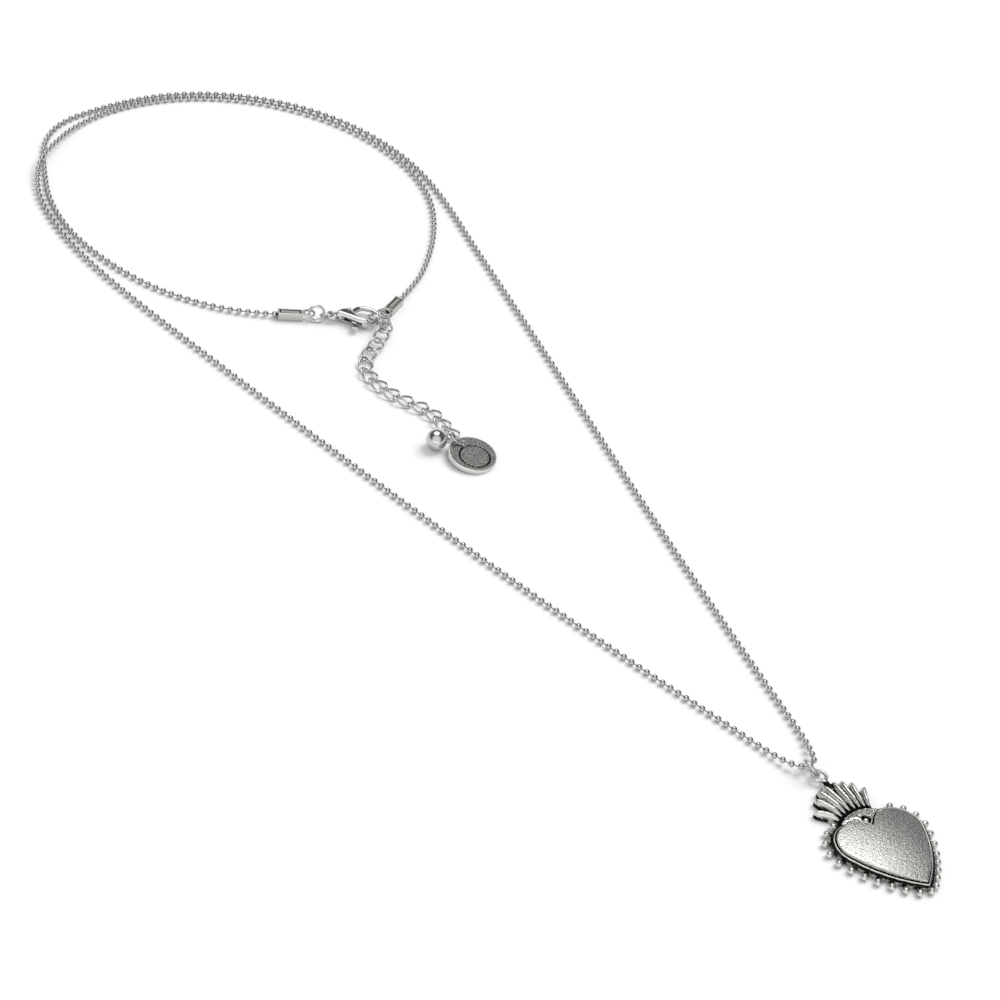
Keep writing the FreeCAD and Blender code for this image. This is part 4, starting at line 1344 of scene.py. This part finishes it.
@dataclass(frozen=True)
class Charms:
    """The polished ball and the round tag at the extension chain's end."""

    ball_eye: tuple[float, float, float] = (-8.34, 149.58, 3.56)
    ball_heading: float = 156.9
    ball_reach: float = 3.15
    ball_radius: float = 2.5
    eye_radius: float = 0.95
    eye_wire: float = 0.28
    tag_radius: float = 5.75
    tag_thick: float = 1.2
    tag_tilt: float = 5.4
    tag_hole: tuple[float, float] = (-6.06, 147.74)
    tag_heading: float = -84.8
    hole_radius: float = 1.1
    hole_edge: float = 0.75
    groove_radius: float = 3.4
    groove_width: float = 0.45
    groove_depth: float = 0.3
    groove_back: float = 0.9

    def ball_charm(self, metal: bpy.types.Material) -> bpy.types.Object:
        """The ball with its wire eye."""
        eye_at = Vector(self.ball_eye)
        centre = Vector((eye_at.x, eye_at.y, self.ball_radius)) + level(self.ball_heading,
                                                                        self.ball_reach)
        place = Matrix.Translation(eye_at) @ lean_turn(self.ball_heading, 0)
        rings = hoop(Vector((0, 0, 0)), self.eye_radius, self.eye_wire, range(0, 360, 10), 30)
        parts = [ball("ball", centre, self.ball_radius, 56),
                 from_rings("ball_eye_wire", rings, True, place)]
        return dress(joined("ball_drop", parts), metal, Slot.BRIGHT, Body.BALL, "ball_charm")

    def tag(self) -> bpy.types.Object:
        """The round tag with its hole and a pressed ring."""
        hole_at = self.tag_radius - self.hole_edge - self.hole_radius
        x, y = self.tag_hole
        middle = Vector((x, y, 0)) + level(self.tag_heading, hole_at)
        middle.z = self.tag_radius * math.sin(math.radians(self.tag_tilt))
        turn = turn_about("Z", self.tag_heading + 180) @ turn_about("Y", -self.tag_tilt)
        foot = Matrix.Translation(middle) @ turn
        place = foot @ Matrix.Translation((0, 0, self.tag_thick / 2))
        disc = flat_plate("round_tag", [circle(self.tag_radius, sides=120),
                                        circle(self.hole_radius, (hole_at, 0), 40)],
                          self.tag_thick, 0.16, place)
        top = self.tag_thick
        inner, outer = self.groove_radius, self.groove_radius + self.groove_width
        back = Vector((-self.groove_back, 0, 0))
        section = ((inner, top + 0.2), (inner + 0.1, top - self.groove_depth),
                   (outer - 0.1, top - self.groove_depth), (outer, top + 0.2))
        rings = [[back + level(3.75 * i) * r + UP * z for r, z in section] for i in range(96)]
        carve(disc, from_rings("pressed_ring", rings, True, foot))
        fused(disc, 0.08, 2, 110000)
        own = np.array([(place.inverted() @ (v.co / MM))[:] for v in disc.data.vertices])
        ring = np.hypot(own[:, 0] + self.groove_back, own[:, 1])
        deep = (ring > inner) & (ring < outer) & (own[:, 2] > 0) & (
            own[:, 2] < self.tag_thick / 2 - 0.1)
        face = (np.abs(own[:, 2]) > self.tag_thick / 2 - 0.06) & (
            np.hypot(own[:, 0], own[:, 1]) < self.tag_radius - 0.22)
        set_oxide_and_shade(disc, np.where(deep, 0.95, np.where(face, 0.54, 0.0)))
        return dress(disc, SAND_PLATE.material(), Slot.TEXTURED, Body.TAG, "tag_disc")


# Table, light and camera

@dataclass(frozen=True)
class Studio:
    """A white table under soft light, seen as the photograph sees it."""

    target: tuple[float, float, float] = (-8.206, 128.727, 0.0)
    view: tuple[float, float] = (0.68417, 0.72933)
    elevation: float = 38.45
    distance: float = 699.3
    roll: float = 11.88
    lens: float = 109.6
    table: float = 6.0
    fill: float = 0.63
    sun: float = 1.6
    sun_angle: float = 40.0
    ceiling: float = 0.15
    horizon: tuple[float, float] = (0.05, 0.32)
    lamp_from: tuple[float, float, float] = (0.75, 0.1, 1.0)
    # Each window's direction, soft edge and bright core in degrees, and strength
    windows: tuple[tuple[tuple[float, float, float], float, float, float], ...] = (
        ((0.151, 0.401, 0.904), 29.0, 12.0, 3.0), ((-0.54, -0.57, 0.62), 60.0, 25.0, 0.9))

    def camera(self) -> None:
        """Set the camera at the photograph's angle."""
        data = bpy.data.cameras.new("camera")
        data.lens, data.sensor_width = self.lens, 36
        camera = show("camera", data)
        rise = math.radians(self.elevation)
        back = Vector((-self.view[0], -self.view[1], 0)) * math.cos(rise) + UP * math.sin(rise)
        turn = (-back).to_track_quat("-Z", "Y").to_matrix().to_4x4()
        place = (Vector(self.target) + back * self.distance) * MM
        camera.matrix_world = Matrix.Translation(place) @ turn @ turn_about("Z", self.roll)
        bpy.context.scene.camera = camera

    def floor(self) -> None:
        """Lay the table: paler to the camera and to reflections than to the light."""
        made = bmesh.new()
        bmesh.ops.create_grid(made, x_segments=1, y_segments=1, size=self.table / 2)
        mesh = mesh_of(made, "table")
        paper = bpy.data.materials.new("white_paper")
        paper.use_nodes = True
        tree = paper.node_tree
        shader = tree.nodes["Principled BSDF"]
        shader.inputs["Roughness"].default_value = 0.9
        shader.inputs["Specular IOR Level"].default_value = 0.0
        rays = add_node(tree, "ShaderNodeLightPath")
        seen = math_node(tree, "MAXIMUM", rays.outputs["Is Camera Ray"],
                         rays.outputs["Is Glossy Ray"])
        colour = add_node(tree, "ShaderNodeMix",
                          {0: seen, 6: linear("#D8D8D8"), 7: linear("#FFFFFF")},
                          data_type="RGBA")
        tree.links.new(colour.outputs[2], shader.inputs["Base Color"])
        mesh.materials.append(paper)
        show("table", mesh)

    def light(self) -> None:
        """Set an even sky, reflected as a dim room with two soft windows, and a soft lamp."""
        world = bpy.data.worlds.new("studio")
        bpy.context.scene.world = world
        world.use_nodes = True
        tree = world.node_tree
        tree.nodes.clear()
        rays = add_node(tree, "ShaderNodeLightPath")
        way = add_node(tree, "ShaderNodeTexCoord").outputs["Generated"]
        height = add_node(tree, "ShaderNodeSeparateXYZ", {0: way}).outputs["Z"]
        room = add_node(tree, "ShaderNodeMapRange",
                        {"Value": height, "From Min": self.horizon[0],
                         "From Max": self.horizon[1], "To Min": 1.0, "To Max": self.ceiling},
                        interpolation_type="SMOOTHSTEP")
        total = room.outputs[0]
        for towards, edge, core, strength in self.windows:
            near = add_node(tree, "ShaderNodeVectorMath", {0: way, 1: towards},
                            operation="DOT_PRODUCT").outputs["Value"]
            window = add_node(tree, "ShaderNodeMapRange",
                              {"Value": near, "From Min": math.cos(math.radians(edge)),
                               "From Max": math.cos(math.radians(core)), "To Min": 0.0,
                               "To Max": strength}, interpolation_type="SMOOTHSTEP")
            total = math_node(tree, "ADD", total, window.outputs[0])
        even = add_node(tree, "ShaderNodeBackground",
                        {"Color": (1, 1, 1, 1), "Strength": self.fill})
        mirrored = add_node(tree, "ShaderNodeBackground", {"Color": total})
        backdrop = add_node(tree, "ShaderNodeBackground", {"Color": (1, 1, 1, 1)})
        mixed = add_node(tree, "ShaderNodeMixShader",
                         {0: rays.outputs["Is Glossy Ray"], 1: even.outputs[0],
                          2: mirrored.outputs[0]})
        whole = add_node(tree, "ShaderNodeMixShader",
                         {0: rays.outputs["Is Camera Ray"], 1: mixed.outputs[0],
                          2: backdrop.outputs[0]})
        add_node(tree, "ShaderNodeOutputWorld", {"Surface": whole.outputs[0]})
        lamp = bpy.data.lights.new("lamp", "SUN")
        lamp.energy, lamp.angle = self.sun, math.radians(self.sun_angle)
        sun = show("lamp", lamp)
        sun.visible_glossy = False
        turn = Vector(self.lamp_from).to_track_quat("Z", "Y")
        sun.matrix_world = turn.to_matrix().to_4x4()


def main() -> None:
    """Build the studio and every piece."""
    logging.basicConfig(level=logging.INFO, format="%(message)s")
    bpy.context.scene.view_settings.view_transform = "Standard"
    studio = Studio()
    studio.camera()
    studio.floor()
    studio.light()
    BallChain().build()
    bright, matte, wire = BRIGHT_PLATE.material(), MATTE_PLATE.material(), bent_wire_tree()
    for ring in jump_rings():
        ring.build(bright, wire)
    CrimpEnd("left_crimp", "crimp_end_left", (-18.1, 208.9), -27.7).build(matte)
    CrimpEnd("right_crimp", "crimp_end_right", (13.15, 201.8), 208.0).build(matte)
    LobsterClasp().build(bright)
    ExtensionChain().build(bright)
    charms = Charms()
    charms.ball_charm(bright)
    charms.tag()
    HeartCasting().build()


if __name__ == "__main__":
    main()
